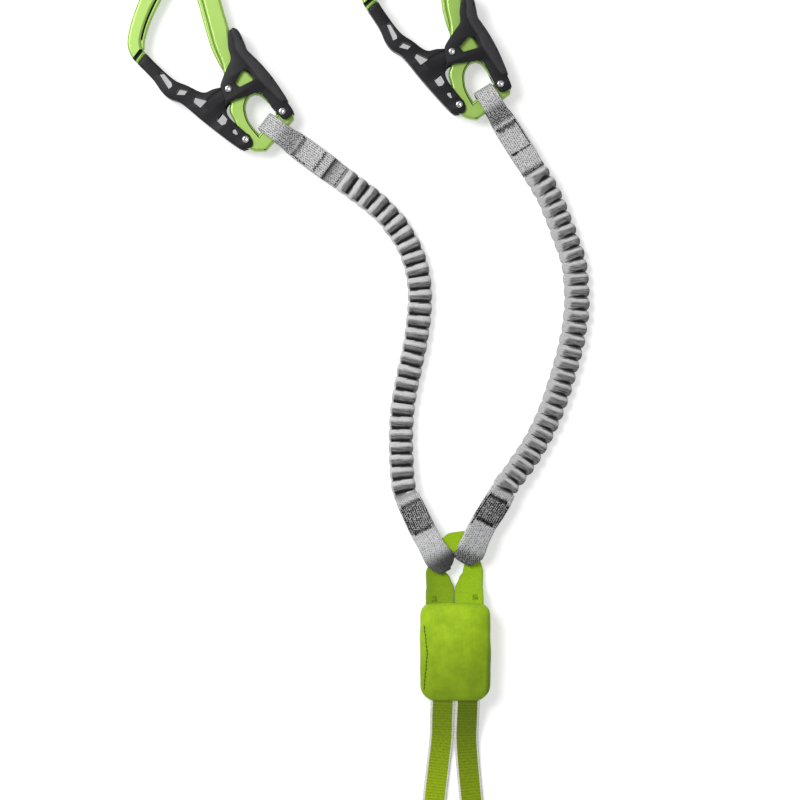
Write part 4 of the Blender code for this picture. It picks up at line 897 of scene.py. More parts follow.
def shaped(target, tools, operation="DIFFERENCE"):
    """The target cut by, or joined with, the tools, which are used up."""
    for tool in tools:
        change = target.modifiers.new(operation.title(), "BOOLEAN")
        change.operation = operation
        change.solver = "EXACT"
        change.material_mode = "TRANSFER"
        change.object = tool
    made = baked(target, target.name)
    for tool in tools:
        bpy.data.objects.remove(tool)
    return made


def finished(obj, coat, body, node, placement, angle=32.0):
    """Places a rigid piece, gives it its looks, and hangs it on its body."""
    obj.matrix_world = placement @ obj.matrix_world
    settled(obj)
    if len(obj.data.materials) < 2:
        obj.data.materials.clear()
        obj.data.materials.append(coat)
    obj.data.shade_smooth()
    obj.data.set_sharp_from_angle(angle=radians(angle))
    return joined(obj, body, node)


def joined(obj, body, node=None):
    """Hangs a piece on its body, in place of its node where it has one."""
    if node:
        obj.name = obj.data.name = node + "_skin"
        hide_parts(node)
    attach(obj, body)
    return obj


def cord_mesh(name, points, radius, steps=2, closed=False):
    """A thin round tube along points."""
    curve = bpy.data.curves.new(name, "CURVE")
    curve.dimensions = "3D"
    curve.use_fill_caps = True
    curve.bevel_resolution = steps
    curve.bevel_depth = radius
    spline = curve.splines.new("POLY")
    spline.points.add(len(points) - 1)
    spline.use_cyclic_u = closed
    for point, spot in zip(spline.points, points):
        point.co = (*spot, 1.0)
    return welded(baked(link(bpy.data.objects.new(name, curve)), name))


def smooth_route(points, shares):
    """Places on a smooth curve through the points, at the given shares of its length."""
    spots = [Vector(point) for point in points]
    dense = []
    for i in range(len(spots) - 1):
        dense += span(*neighbours(spots, i), ROUTE_STEPS)
    dense.append(spots[-1])
    walked = [0.0]
    for a, b in zip(dense, dense[1:]):
        walked.append(walked[-1] + (b - a).length)
    places = []
    k = 0
    for share in shares:
        target = share * walked[-1]
        while k < len(walked) - 2 and walked[k + 1] < target:
            k += 1
        part = (target - walked[k]) / (walked[k + 1] - walked[k])
        places.append(dense[k].lerp(dense[k + 1], part))
    return places, walked[-1]


def strap_section(half_width, half_thick):
    """A strap's section: flat faces and round edges."""
    reach = half_width - half_thick
    flats = [reach * (1 - 2 * k / FACE_STEPS) for k in range(FACE_STEPS + 1)]
    left = arc((-reach, 0.0), half_thick, pi / 2, pi, EDGE_STEPS)[1:-1]
    right = arc((reach, 0.0), half_thick, -pi / 2, pi, EDGE_STEPS)[1:-1]
    return [(x, half_thick) for x in flats] + left + [(-x, -half_thick) for x in flats] + right


def painted(mesh, name, tones):
    """Stores a grey for each point of the mesh, which holds painted light and shade as well as
    tone, and beside it a strength for wear and painted shade.
    """
    layer = mesh.color_attributes.new(name, "FLOAT_COLOR", "POINT")
    for value, (tone, wear_and_shade) in zip(layer.data, tones):
        value.color = (tone, tone, tone, wear_and_shade)


def skinned(name, rings, charts, paint, tones):
    """A closed skin over rings of points, with its charts and its painted tones. A chart gives
    the place of a ring's point, where the first point counts once more as the last."""
    shape = bmesh.new()
    layers = [(shape.loops.layers.uv.new(key), chart) for key, chart in charts.items()]
    rings = [[shape.verts.new(spot) for spot in ring] for ring in rings]
    count = len(rings[0])
    for i in range(len(rings) - 1):
        for j in range(count):
            k = (j + 1) % count
            face = shape.faces.new((rings[i][j], rings[i][k], rings[i + 1][k], rings[i + 1][j]))
            face.smooth = True
            for loop, (a, b) in zip(face.loops, ((i, j), (i, j + 1), (i + 1, j + 1), (i + 1, j))):
                for layer, chart in layers:
                    loop[layer].uv = chart(a, b)
    for ring in (rings[0], rings[-1]):
        shape.faces.new(ring)
    bmesh.ops.recalc_face_normals(shape, faces=shape.faces)
    mesh = bpy.data.meshes.new(name)
    shape.to_mesh(mesh)
    shape.free()
    painted(mesh, paint, tones)
    return link(bpy.data.objects.new(name, mesh))


def ribbon(name, stations, cupping=None, wear_and_painted_shade=None):
    """A strap through stations of middle, width direction, upward direction, half width and
    half thickness, with its weave drawn in millimetres round and along it, and with the tone
    and wear that a given function paints on it, painted shade among them."""
    tones = []
    rings = []
    walks = []
    spreads = []
    along = [0.0]
    for i, (middle, across, up, half_width, half_thick) in enumerate(stations):
        section = strap_section(half_width, half_thick)
        part = i / (len(stations) - 1)
        if cupping:
            section = [(x, y + cupping(part, x / half_width)) for x, y in section]
        rings.append([middle + across * x + up * y for x, y in section])
        tones += [wear_and_painted_shade(part, x / half_width) if wear_and_painted_shade else (1.0, 0.25) for x, y in section]
        walk = [0.0]
        for a, b in zip(section, section[1:] + section[:1]):
            walk.append(walk[-1] + hypot(b[0] - a[0], b[1] - a[1]) * MM)
        walks.append(walk)
        spreads.append([x / half_width for x, y in section] + [section[0][0] / half_width])
        if i:
            along.append(along[-1] + (middle - stations[i - 1][0]).length * MM)
    charts = {"weave": lambda a, b: (walks[a][b], along[a]),
              "share": lambda a, b: (spreads[a][b], 0.0)}
    return skinned(name, rings, charts, "tone", tones)


def station(middle, across, tangent, half_width, half_thick):
    """One place on a strap, with its width direction made square to its run."""
    across = (across - tangent * across.dot(tangent)).normalized()
    return (middle, across, tangent.cross(across), half_width, half_thick)


def along_stations(rows):
    """A station for each row of middle, width direction, half width and half thickness."""
    stations = []
    for i, (middle, across, half_width, half_thick) in enumerate(rows):
        before = rows[max(i - 1, 0)][0]
        after = rows[min(i + 1, len(rows) - 1)][0]
        stations.append(station(middle, across, (after - before).normalized(), half_width,
                                half_thick))
    return stations


def denser(rows, steps):
    """Rows on a smooth curve through the given ones."""
    full = []
    for i in range(len(rows) - 1):
        near = neighbours(rows, i)
        start, end = near[1], near[2]
        for k, spot in enumerate(span(*[row[0] for row in near], steps)):
            part = k / steps
            ease = part * part * (3 - 2 * part)
            across = start[1].lerp(end[1], part).normalized()
            full.append((Vector(spot), across, start[2] + (end[2] - start[2]) * ease,
                         start[3] + (end[3] - start[3]) * ease))
    full.append(rows[-1])
    return full


def settle(points, obj, lift):
    """Drops points from above onto a piece's surface."""
    graph = bpy.context.evaluated_depsgraph_get()
    tree = BVHTree.FromObject(obj, graph)
    for point in points:
        found = tree.ray_cast(Vector((point.x, point.y, DROP_HEIGHT)), -UP)
        if found[0]:
            point.z = found[0].z + lift


def soft(obj, coat, node=None):
    """Gives a piece of cloth or thread its looks, and hangs it on the lanyard."""
    obj.data.materials.clear()
    obj.data.materials.append(coat)
    return joined(obj, "lanyard", node)


def side_rows(view, start, angle, widths, thickness):
    """Rows from a side view of (along, up) points, standing on a heading from a start."""
    along = heading(angle)
    across = UP.cross(along)
    rows = []
    for x, y in view:
        rows.append((start + along * x + UP * y, across, widths(x, y) / 2, thickness / 2))
    return rows


def eased(value, low, high):
    """0 below low, 1 above high, smooth between."""
    part = min(1.0, max(0.0, (value - low) / (high - low)))
    return part * part * (3 - 2 * part)


def band(value, rise, fall):
    """0, rising to 1 over one stretch and falling back over another."""
    return eased(value, *rise) - eased(value, *fall)


def divided(view, spacing):
    """The same line, with points no further apart than the spacing."""
    fine = []
    for a, b in zip(view, view[1:]):
        count = max(1, int(hypot(b[0] - a[0], b[1] - a[1]) / spacing + 0.5))
        for k in range(count):
            fine.append((a[0] + (b[0] - a[0]) * k / count, a[1] + (b[1] - a[1]) * k / count))
    fine.append(view[-1])
    return fine


def top_eye_view(flap):
    """Out along the lower layer, round the bar, and back along the upper layer."""
    radius = EYE_RADIUS + STRAP_THICKNESS / 2
    throat = TOP_EYE_LENGTH - TOP_EYE_THROAT
    lean = acos(min(1.0, (radius - LAYER_OFFSET) / TOP_EYE_THROAT))
    points = [(CLEARANCE, -LAYER_OFFSET), (throat, -LAYER_OFFSET)]
    points += arc((TOP_EYE_LENGTH, 0.0), radius, pi + lean, 2 * pi - 2 * lean, EYE_STEPS)
    points += [(throat, LAYER_OFFSET), (TOP_EYE_LENGTH - flap, LAYER_OFFSET)]
    return divided(points, VIEW_SPACING["top"])


def low_eye_view(tip):
    """Out along the lower layer, round the tip, and back up over the sling."""
    radius = (LOW_EYE_OPENING + STRAP_THICKNESS) / 2
    turn_middle = (tip - LOW_EYE_TURN - STRAP_THICKNESS / 2, LOW_EYE_TURN - radius)
    mouth = LOW_EYE_THROAT + radius
    points = [(CLEARANCE, -LAYER_OFFSET), (LOW_EYE_THROAT, -LAYER_OFFSET), (mouth, -radius)]
    points += arc(turn_middle, LOW_EYE_TURN, -pi / 2, pi, TIP_STEPS)
    top = points[-1]
    for k in range(1, CREST_STEPS + 1):
        part = k / CREST_STEPS
        points.append((top[0] + (LOW_EYE_CREST - top[0]) * part,
                       top[1] + (radius - top[1]) * sin(part * pi / 2)))
    points += [(mouth + LOW_EYE_END, radius * LOW_EYE_FALL), (LOW_EYE_THROAT, LAYER_OFFSET),
               (EYE_EDGES["left"][0][0][0] + LOW_EYE_END, LAYER_OFFSET)]
    return divided(points, VIEW_SPACING["lower"])


def between(table, value):
    """The value of a broken line at a place."""
    for (a, low), (b, high) in zip(table, table[1:]):
        if value <= b:
            part = max(0.0, (value - a) / (b - a))
            return low + (high - low) * part
    return table[-1][1]


def zigzag(name, start, angle, along, first, last, height, turns, reach, radius):
    """A bar tack: thread laid to and fro across a strap's upper face."""
    direction = heading(angle)
    across = UP.cross(direction)
    points = []
    for k in range(turns + 1):
        side = first + (last - first) * k / turns
        uneven = noise.noise(Vector((k * 1.3, along * 900.0, 2.0)))
        swing = reach * (0.9 + 0.3 * uneven if k % 2 == 0 else -1.1 - 1.1 * uneven)
        points.append(start + direction * (along + swing) + across * side + UP * height)
    return cord_mesh(name, points, radius)


def thread_line(name, start, angle, first, last, side_first, side_last, height,
                stitch=STITCH_LENGTH, radius=STITCH_RADIUS):
    """A row of lock stitches, each a short arch above the strap's face."""
    direction = heading(angle)
    across = UP.cross(direction)
    a = start + direction * first + across * side_first
    b = start + direction * last + across * side_last
    count = max(2, int((b - a).length / stitch + 0.5))
    points = []
    for k in range(count):
        for part, lift in STITCH_SHARES:
            spot = a.lerp(b, (k + part) / count)
            points.append(spot + UP * (height + radius * (lift - 0.6)))
    return cord_mesh(name, points, radius)


def top_eye(side, start, angle, coats):
    """The webbing eye round a carabiner's bar, and its sewing."""
    radius = EYE_RADIUS + STRAP_THICKNESS / 2
    begin = TOP_EYE_LENGTH - TOP_EYE_THROAT
    finish = TOP_EYE_LENGTH - radius

    def widths(along, up):
        full = 1.0 + 0.05 * band(along, *TOP_EYE_FULLER)
        return STRAP_WIDTH * full + (TOP_EYE_WIDTH - STRAP_WIDTH) * eased(along, begin, finish)

    flap_end = TOP_EYE_LENGTH - TOP_EYE_FLAPS[side]
    view = top_eye_view(TOP_EYE_FLAPS[side])
    last = len(view) - 1
    bend = max(range(len(view)), key=lambda i: view[i][0])

    def wear_and_painted_shade(part, share):
        """Painted shadow next to the flap's end, and at the webbing's own end from the arm's first
        fold; worn next to the bar, and pale elsewhere.
        """
        x = view[min(last, int(part * last + 0.5))][0]
        if part * last <= bend:
            return 0.26 + 0.60 * eased(flap_end - x, *TOP_EYE_FLAP_SHADE), 0.30
        rubbed = band(x, *TOP_EYE_RUBBED) * (0.6 if side == "left" else 1.0)
        end_shade = 1.0 - eased(x, *TOP_EYE_END_SHADE)
        return 1.08 - 0.36 * rubbed - 0.55 * end_shade, 0.32 + 0.30 * rubbed + 0.35 * end_shade

    rows = side_rows(view, start, angle, widths, STRAP_THICKNESS)
    made = ribbon(side + "_top_eye", along_stations(rows), None, wear_and_painted_shade)
    soft(made, coats["webbing"], side + "_top_eye")
    upper = LAYER_OFFSET + STRAP_THICKNESS / 2
    sewing = []
    for kind, number, *sizes in TOP_EYE_SEWING[side]:
        name = side + "_tack_" + str(number)
        if kind == "tack":
            along, first, turns, reach, thread = sizes
            sewing.append(zigzag(name, start, angle, along, first, TACK_END, upper + THREAD_LIFT,
                                 turns, reach, thread))
        else:
            *ends, lift = sizes
            sewing.append(thread_line(name, start, angle, *ends, upper + lift))
    lower = STRAP_THICKNESS / 2 - LAYER_OFFSET
    sewing.append(thread_line(side + "_tack_5", start, angle, UNDER_ROW_PLACE, UNDER_ROW_PLACE,
                              TACK_END, -TACK_END, lower))
    for thread in sewing:
        soft(thread, coats["thread"])


def low_eye(side, start, angle, coats):
    """The webbing eye that lies flat round the sling, and its sewing."""
    radius = (LOW_EYE_OPENING + STRAP_THICKNESS) / 2
    mouth = LOW_EYE_THROAT + radius
    along = heading(angle)
    across = UP.cross(along)
    inner, outer = EYE_EDGES[side]
    facing = 1 if side == "left" else -1
    view = low_eye_view(EYE_TIPS[side])
    tip = max(range(len(view)), key=lambda i: view[i][0])
    rows = []
    shifts = []
    for number, (x, y) in enumerate(view):
        near = between(inner, x)
        far = between(outer, x)
        if number <= tip:
            narrow = eased(x, LOW_EYE_THROAT, mouth + LOW_EYE_NARROWS)
            near += (min(near, LOW_EYE_GATHERED / 2) - near) * narrow
            far += (min(far, LOW_EYE_GATHERED / 2) - far) * narrow
        shifts.append(facing * (near - far) / 2)
        rows.append((start + along * x + UP * y, across, (near + far) / 2, STRAP_THICKNESS / 2))
    last = len(view) - 1

    def droop(part, share):
        x = view[min(last, int(part * last + 0.5))][0]
        if part * last <= tip:
            return 0.0
        hang = eased(x, LOW_EYE_CREST - LOW_EYE_HANGS, LOW_EYE_LENGTH - LOW_EYE_HANGS)
        wave = LOW_EYE_WAVE * noise.noise(Vector((share * 2.6, x * 90.0, facing * 3.0)))
        return wave + LOW_EYE_DROOP * hang * share * share

    def wear_and_painted_shade(part, share):
        x = view[min(last, int(part * last + 0.5))][0]
        if part * last <= tip:
            # painted shade: the lower layer, under the upper one, is kept half as light
            return 0.5, 0.4
        # Painted shade: the upper layer grows dark towards the tip, where it turns down round the
        # sling.
        begin, end, lean = LOW_EYE_SHADE[side]
        if side == "left":
            dark = eased(x, begin, end - lean * share)
            shade = 1.0 - (0.88 - 0.12 * max(0.0, -share)) * dark
            pale = 0.10
        else:
            shade = 0.84 - 0.46 * eased(x, begin - lean * share, end)
            shade += 0.35 * eased(-share, 0.80, 0.92)
            pale = 0.20 + 0.35 * eased(x, *LOW_EYE_PALER)
        first, second = EYE_TACKS[side][0][0], EYE_TACKS[side][1][0]
        stitched = band(x, (first + STITCHED_RISE[0], first + STITCHED_RISE[1]),
                        (second + STITCHED_FALL[0],
                         second + STITCHED_FALL[1] + STITCHED_SLANT * share))
        stitched *= 0.86 + 0.14 * eased(-share * facing, -0.5, 0.8)
        return shade * (1.0 - 0.24 * stitched), pale + (0.74 - pale) * stitched

    stations = [(middle + across * shift, *others) for (middle, *others), shift in
                zip(along_stations(rows), shifts)]
    made = ribbon(side + "_lower_eye", stations, droop, wear_and_painted_shade)
    soft(made, coats["webbing"], side + "_lower_eye")
    upper = LAYER_OFFSET + STRAP_THICKNESS / 2 + LOW_THREAD_LIFT
    for number, tack in enumerate(EYE_TACKS[side]):
        sewn = zigzag(side + "_tack_" + str(6 + number), start, angle, *tack, upper,
                      EYE_TACK_TURNS, EYE_TACK_REACH, LOW_THREAD_RADIUS)
        soft(sewn, coats["thread"])
    if side == "right":
        edge = thread_line("right_tack_8", start, angle, *EDGE_ROW, upper, EDGE_STITCH_LENGTH,
                           EDGE_STITCH_RADIUS)
        soft(edge, coats["thread"])


def rib_shape(part):
    """0 in the cusp between two folds and 1 on top of one."""
    return sin(pi * ((part + RIB_START) % 1.0)) ** RIB_POWER


def arm_section(side, phase, j, walked, length):
    """A ring point of a gathered arm: its place across and up, in halves, and its painted tone and
    shade.
    """
    turn = 2 * pi * j / TUBE_SIDES
    c, s = cos(turn), sin(turn)
    x = (abs(c) ** TUBE_POWER) * (1 if c >= 0 else -1)
    y = (abs(s) ** TUBE_POWER) * (1 if s >= 0 else -1)
    if phase is None:
        first, final = ARM_FOLDS[side][:2]
        near = min(1.0, walked / first, (length - walked) / final)
        shade = 0.50 + 0.14 * noise.noise(Vector((j * 0.9, walked * 300, 0.0)))
        return x * 0.95, y * (0.28 + 0.34 * near), (shade, 0.2)
    rolled = side == "right"
    rib = floor(phase)
    part = phase - rib
    seed = RIB_SEEDS[side]
    lean = 0.05 * noise.noise(Vector((rib * 1.7, 4.0, seed)))
    part = (part + lean * x) % 1.0
    size = 1.0 + 0.04 * noise.noise(Vector((rib * 3.1, seed, 1.0)))
    dip = 1.0 - rib_shape(part)
    deep = 0.20 + 0.34 * eased(x, -0.6, 0.5) if rolled else 0.52
    side_dip, full = RIB_SIDES[side][x > 0]
    wide = full * size
    across = x * wide * (1.0 - side_dip * dip * abs(x))
    upward = y * (1.0 - deep * dip)
    return across, upward, fold_shade(part, x, rib, rolled)


def fold_shade(part, x, rib, rolled):
    """How light the gathered webbing is painted on a fold, as painted light and shade: pale where
    it faces the light from the valley on, then mid grey where it turns away, and near black as
    the shadow where it drops into the next valley, and how strong its streaks are."""
    jitter = 0.03 * noise.noise(Vector((rib * 5.7, x * 2.2, 3.0)))
    if not rolled:
        grey = eased(part, 0.24 + jitter, 0.46 + jitter)
        pit_shadow = eased(part, 0.66 + jitter, 0.76 + jitter) - eased(part, 0.94, 1.0)
        start = 0.0 if rib < 11 else 0.16 * noise.noise(Vector((rib * 2.3, 1.0, 5.0))) + 0.10
        pit_shadow *= 1.0 - 0.9 * eased(x, 0.80 - start, 1.0 - start)
        rim = max(eased(-x, 0.80, 0.90), eased(x, 0.92, 0.98))
        pit_shadow *= 1.0 - rim
        grey *= 1.0 - 0.85 * rim
        tone = 0.66 - 0.48 * grey
        return tone * (1.0 - pit_shadow) + PIT_SHADOW_TONE * pit_shadow, 0.12 + 0.88 * grey
    swing = 0.16 * abs(2 * ((part + 0.35) % 1.0) - 1.0)
    strip = eased(-x, 0.22 + swing, 0.48 + swing)
    grey = eased(part, 0.16 + jitter, 0.34 + jitter) * (1.0 - strip)
    tone = 0.62 - 0.08 * strip - 0.42 * grey
    thick = 0.24 * between(PIT_SHADOW_WIDTHS, x)
    if -0.66 < x < -0.50:
        thick = 0.045
    low = 0.88 - thick * 0.35 - thick / 2
    high = 0.88 - thick * 0.35 + thick / 2
    pit_shadow = band(part, (low - 0.05, low + 0.01), (high - 0.01, high + 0.05)) if thick > 0.0 else 0.0
    return tone * (1.0 - pit_shadow) + PIT_SHADOW_TONE * pit_shadow, 0.16 + 0.84 * grey


def gathered_arm(side, route, coats):
    """The elastic arm: webbing gathered into folds over its core."""
    length = smooth_route(route, [0.0, 1.0])[1]
    first, final, count = ARM_FOLDS[side]
    ribbed = length - first - final
    before, after = END_RINGS
    marks = [(first * k / before, None) for k in range(before)]
    for k in range(count * RIB_RINGS + 1):
        marks.append((first + ribbed * k / (count * RIB_RINGS),
                      k / RIB_RINGS if k < count * RIB_RINGS else count - 0.001))
    marks += [(length - final + final * k / after, None) for k in range(1, after + 1)]
    spots = smooth_route(route, [mark[0] / length for mark in marks])[0]
    rings = []
    shades = []
    for (walked, phase), (middle, tangent) in zip(marks, with_tangents(spots)):
        across = UP.cross(tangent).normalized()
        up = tangent.cross(across)
        ring = []
        for j in range(TUBE_SIDES):
            x, y, (tone, streaks) = arm_section(side, phase, j, walked, length)
            ring.append(middle + across * (x * TUBE_WIDTH / 2) + up * (y * TUBE_HEIGHT / 2))
            shades.append((max(0.0, tone), streaks))
        rings.append(ring)
    perimeter = pi * (TUBE_WIDTH + TUBE_HEIGHT) / 2 * MM
    charts = {"weave": lambda a, b: (perimeter * b / TUBE_SIDES, marks[a][0] * MM)}
    made = skinned(side + "_bungee", rings, charts, "fold", shades)
    soft(made, coats["bungee"], side + "_bungee")
    core_spots = smooth_route(route, [k / CORE_STEPS for k in range(CORE_STEPS + 1)])[0]
    core_rows = [(middle, UP.cross(tangent), CORE_WIDTH / 2, CORE_HEIGHT / 2)
                 for middle, tangent in with_tangents(core_spots)]
    core = ribbon(side + "_elastic_core", along_stations(core_rows))
    soft(core, coats["elastic"], side + "_elastic_core")
    return made


def with_tangents(spots):
    """Each spot of a route with its direction there."""
    rows = along_stations([(spot, Vector((1.0, 0.0, 0.0)), 1.0, 1.0) for spot in spots])
    return [(row[0], row[1].cross(row[2])) for row in rows]


def sling_half(side):
    """Rows of the sling from the pouch up one leg, under that side's eye and back through it."""
    low_angle, sign, hook = SIDES[side][2], SIDES[side][4], SIDES[side][5]
    half_width = SLING_WIDTH / 2
    half_thick = SLING_THICKNESS / 2
    across = Vector((1.0, 0.0, 0.0))
    under = UNDER_TOP - half_thick
    leg = SLING_MIDDLE + sign * SLING_SPREAD / 2
    rows = []
    for y in (TAPE_LENGTH / 2 + CLEARANCE, POUCH_TOP - POUCH_WALL, POUCH_TOP):
        rows.append((Vector((leg, y, EXIT_HEIGHT)), across, half_width * LEG_FULLNESS, half_thick))
    for reach, outwards, height, wide in LEG_SHARES:
        middle = Vector((leg + sign * outwards * half_width, POUCH_TOP + reach * SLING_REACH,
                         under + (EXIT_HEIGHT - under) * height))
        rows.append((middle, across, half_width * wide, half_thick))
    down = heading(low_angle)
    out = heading(low_angle + sign * 90.0)
    eye = Vector((JUNCTION.x + hook[0], JUNCTION.y + hook[1], 0.0))

    def passing(outwards, tipwards, height):
        spot = eye + out * outwards * LOW_EYE_WIDTH + down * tipwards * LOW_EYE_WIDTH
        return Vector((spot.x, spot.y, height))

    spots = []
    for outwards, tipwards, wide, thick in UNDER_SHARES:
        height = UNDER_TOP - half_thick * thick
        spots.append((passing(outwards, tipwards, height), half_width * wide, half_thick * thick))
    low_end, wide, thin = spots[-1]
    for outwards, rise in TURN_SHARES:
        height = low_end.z + (LOOP_HEIGHT - low_end.z) * rise
        spots.append((passing(outwards * TURN_REACH[side], 0.0, height), wide, thin))
    for outwards, tipwards, wide, thick in THROUGH_SHARES:
        spots.append((passing(outwards, tipwards, LOOP_HEIGHT), half_width * wide,
                      half_thick * thick))
    for number, (spot, wide, thin) in enumerate(spots):
        turned_by = radians(UNDER_TURNS[number] if number < len(UNDER_TURNS) else 90.0)
        across = (out * cos(turned_by) + down * sin(turned_by)) * sign
        rows.append((spot, across, wide, thin))
    return rows


def upper_sling(coats):
    """The lime webbing from the pouch through both lower eyes and back."""
    left = sling_half("left")
    right = sling_half("right")
    turned_back = [(middle, -across, wide, thin) for middle, across, wide, thin in reversed(right)]
    bight = (JUNCTION - Vector((0.0, BIGHT_SAG, 0.0)), Vector((0.0, 1.0, 0.0)),
             SLING_WIDTH * BIGHT_WIDTH_SHARE / 2, SLING_THICKNESS / 2)
    rows = denser(left + [bight] + turned_back, SLING_STEPS)

    def creased(part, share):
        """Small folds where the legs leave the pouch."""
        near = max(0.0, 1.0 - min(part, 1.0 - part) / 0.22)
        fold = noise.noise(Vector((share * 1.6, part * 70.0, 9.0)))
        fine = noise.noise(Vector((share * 5.0, part * 30.0, 2.0)))
        return SLING_CREASE * near * (fold + 0.6 * fine)

    def wear_and_painted_shade(part, share):
        # Painted shade: the half up the left leg is darker, and the other half a little darker
        # towards one edge.
        if part < 0.42:
            return 0.62 + 0.12 * eased(share, -0.9, 0.4), 0.10
        return 1.0 - 0.10 * eased(share, 0.5, 1.0), 0.05

    made = ribbon("upper_sling", along_stations(rows), creased, wear_and_painted_shade)
    soft(made, coats["lime"], "upper_sling")
    turns = SLING_STITCH_COUNT * 4
    for side, (x, y) in SLING_STITCHES.items():
        points = []
        for k in range(turns + 1):
            points.append(Vector((x + SLING_STITCH_SLANT * (k / turns - 0.5),
                                  y + SLING_STITCH_REACH * (1 if k % 2 else -1), EXIT_HEIGHT)))
        settle(points, made, SLING_THREAD_LIFT)
        thread = cord_mesh("sling_stitches_" + side, points, SLING_THREAD_RADIUS)
        soft(thread, coats["lime_thread"])


def harness_loop(coats):
    """Two legs down from the pouch that turn on edge and meet in a round bight."""
    half_width = TIE_WIDTH / 2
    half_thick = TIE_THICKNESS / 2
    inside = -TAPE_LENGTH / 2 - CLEARANCE
    low = half_thick + TIE_RISE
    edge_on = half_width + TIE_RISE
    spread = TIE_SPREAD / 2
    bight = -POUCH_TOP - TIE_LENGTH + TIE_BIGHT_RADIUS
    span = -POUCH_TOP - bight
    legs = [(inside, spread, EXIT_HEIGHT, 0.0), (-POUCH_TOP, spread, EXIT_HEIGHT, 0.0)]
    for along, height_share, turned_share in TIE_LEG_SHARES:
        flat_height = low + (EXIT_HEIGHT - low) * height_share
        height = flat_height + (edge_on - low) * sin(turned_share * pi / 2)
        parted = (along - TIE_PARTING[0]) / (TIE_PARTING[1] - TIE_PARTING[0])
        x = spread + (TIE_BIGHT_RADIUS - spread) * min(1.0, max(0.0, parted))
        legs.append((-POUCH_TOP - along * span, x, height, turned_share))
    rows = []
    back = []
    for y, x, height, turned_share in legs:
        turn = turned_share * pi / 2
        lean = TIE_LEAN * sin(pi * min(1.0, max(0.0, (-POUCH_TOP - y) / span)))
        rows.append((Vector((-x - lean, y, height)), Vector((cos(turn), 0.0, sin(turn))),
                     half_width, half_thick))
        back.append((Vector((x - lean, y, height)), Vector((-cos(turn), 0.0, sin(turn))),
                     half_width, half_thick))
    turned_back = arc((0.0, bight), TIE_BIGHT_RADIUS, pi, pi, BIGHT_STEPS)
    middle = [(Vector((x, y, edge_on)), UP, half_width, half_thick) for x, y in turned_back]
    stations = along_stations(denser(rows + middle + back[::-1], TIE_STEPS))
    last = len(stations) - 1

    def wear_and_painted_shade(part, share):
        """Painted shade: darker next to the pouch, in its shadow, and on the right leg."""
        spot = stations[min(last, int(part * last + 0.5))][0]
        down = eased(-POUCH_TOP - spot.y, *TIE_SHADE)
        if spot.x < 0:
            return 0.62 + 0.44 * down, 0.05
        return 0.40 + 0.36 * down, 0.05

    soft(ribbon("tie_in_loop", stations, None, wear_and_painted_shade), coats["tie"],
         "tie_in_loop")


def tear_tape(coats):
    """The tape that tears in a fall, folded to and fro."""
    low = POUCH_WALL + CLEARANCE + TAPE_THICKNESS / 2
    high = POUCH_HEIGHT - POUCH_WALL - 2 * CLEARANCE - TAPE_THICKNESS / 2
    high -= TAPE_DROP
    pitch = (high - low) / (TAPE_LAYERS - 1)
    radius = pitch / 2
    reach = TAPE_LENGTH / 2 - radius - TAPE_THICKNESS / 2
    view = [(-reach, low)]
    for layer in range(TAPE_LAYERS - 1):
        side = 1 if layer % 2 == 0 else -1
        height = low + pitch * (layer + 0.5)
        turned_back = arc((reach, height), radius, -pi / 2, pi, TURN_STEPS)
        view += [(side * along, up) for along, up in turned_back]
    view.append((reach if TAPE_LAYERS % 2 else -reach, low + pitch * (TAPE_LAYERS - 1)))
    rows = side_rows(view, ORIGIN, 90.0, lambda along, up: TAPE_WIDTH, TAPE_THICKNESS)
    soft(ribbon("tear_tape", along_stations(rows)), coats["tape"], "tear_tape")


def blown_box():
    """A rounded box, remeshed and blown up by a cloth simulation."""
    margin = POUCH_SWELL
    bpy.ops.mesh.primitive_cube_add(size=1.0)
    made = bpy.context.object
    made.data.transform(Matrix.Diagonal((POUCH_WIDTH - 2 * margin, POUCH_LENGTH - 2 * margin,
                                         POUCH_HEIGHT - 2 * margin, 1.0)))
    made.data.transform(Matrix.Translation((0.0, 0.0, POUCH_HEIGHT / 2)))
    bevel = made.modifiers.new("Rounding", "BEVEL")
    bevel.width = POUCH_ROUNDING
    bevel.segments = 5
    grid = made.modifiers.new("Grid", "REMESH")
    grid.mode = "VOXEL"
    grid.voxel_size = POUCH_VOXEL
    made = baked(made, "pouch_blank")
    start = [vertex.co.copy() for vertex in made.data.vertices]
    cloth = made.modifiers.new("Cloth", "CLOTH")
    cloth.settings.quality = 6
    cloth.settings.use_pressure = True
    cloth.settings.uniform_pressure_force = 4.0
    cloth.settings.effector_weights.gravity = 0.0
    cloth.settings.mass = 0.1
    cloth.point_cache.frame_end = CLOTH_FRAMES
    for number in range(1, CLOTH_FRAMES + 1):
        SCENE.frame_set(number)
    made = baked(made, "pouch_blank")
    SCENE.frame_set(1)
    for vertex, rest in zip(made.data.vertices, start):
        moved = vertex.co - rest
        vertex.co = rest + moved * min(1.0, margin / max(moved.length, 1e-9))
    return made


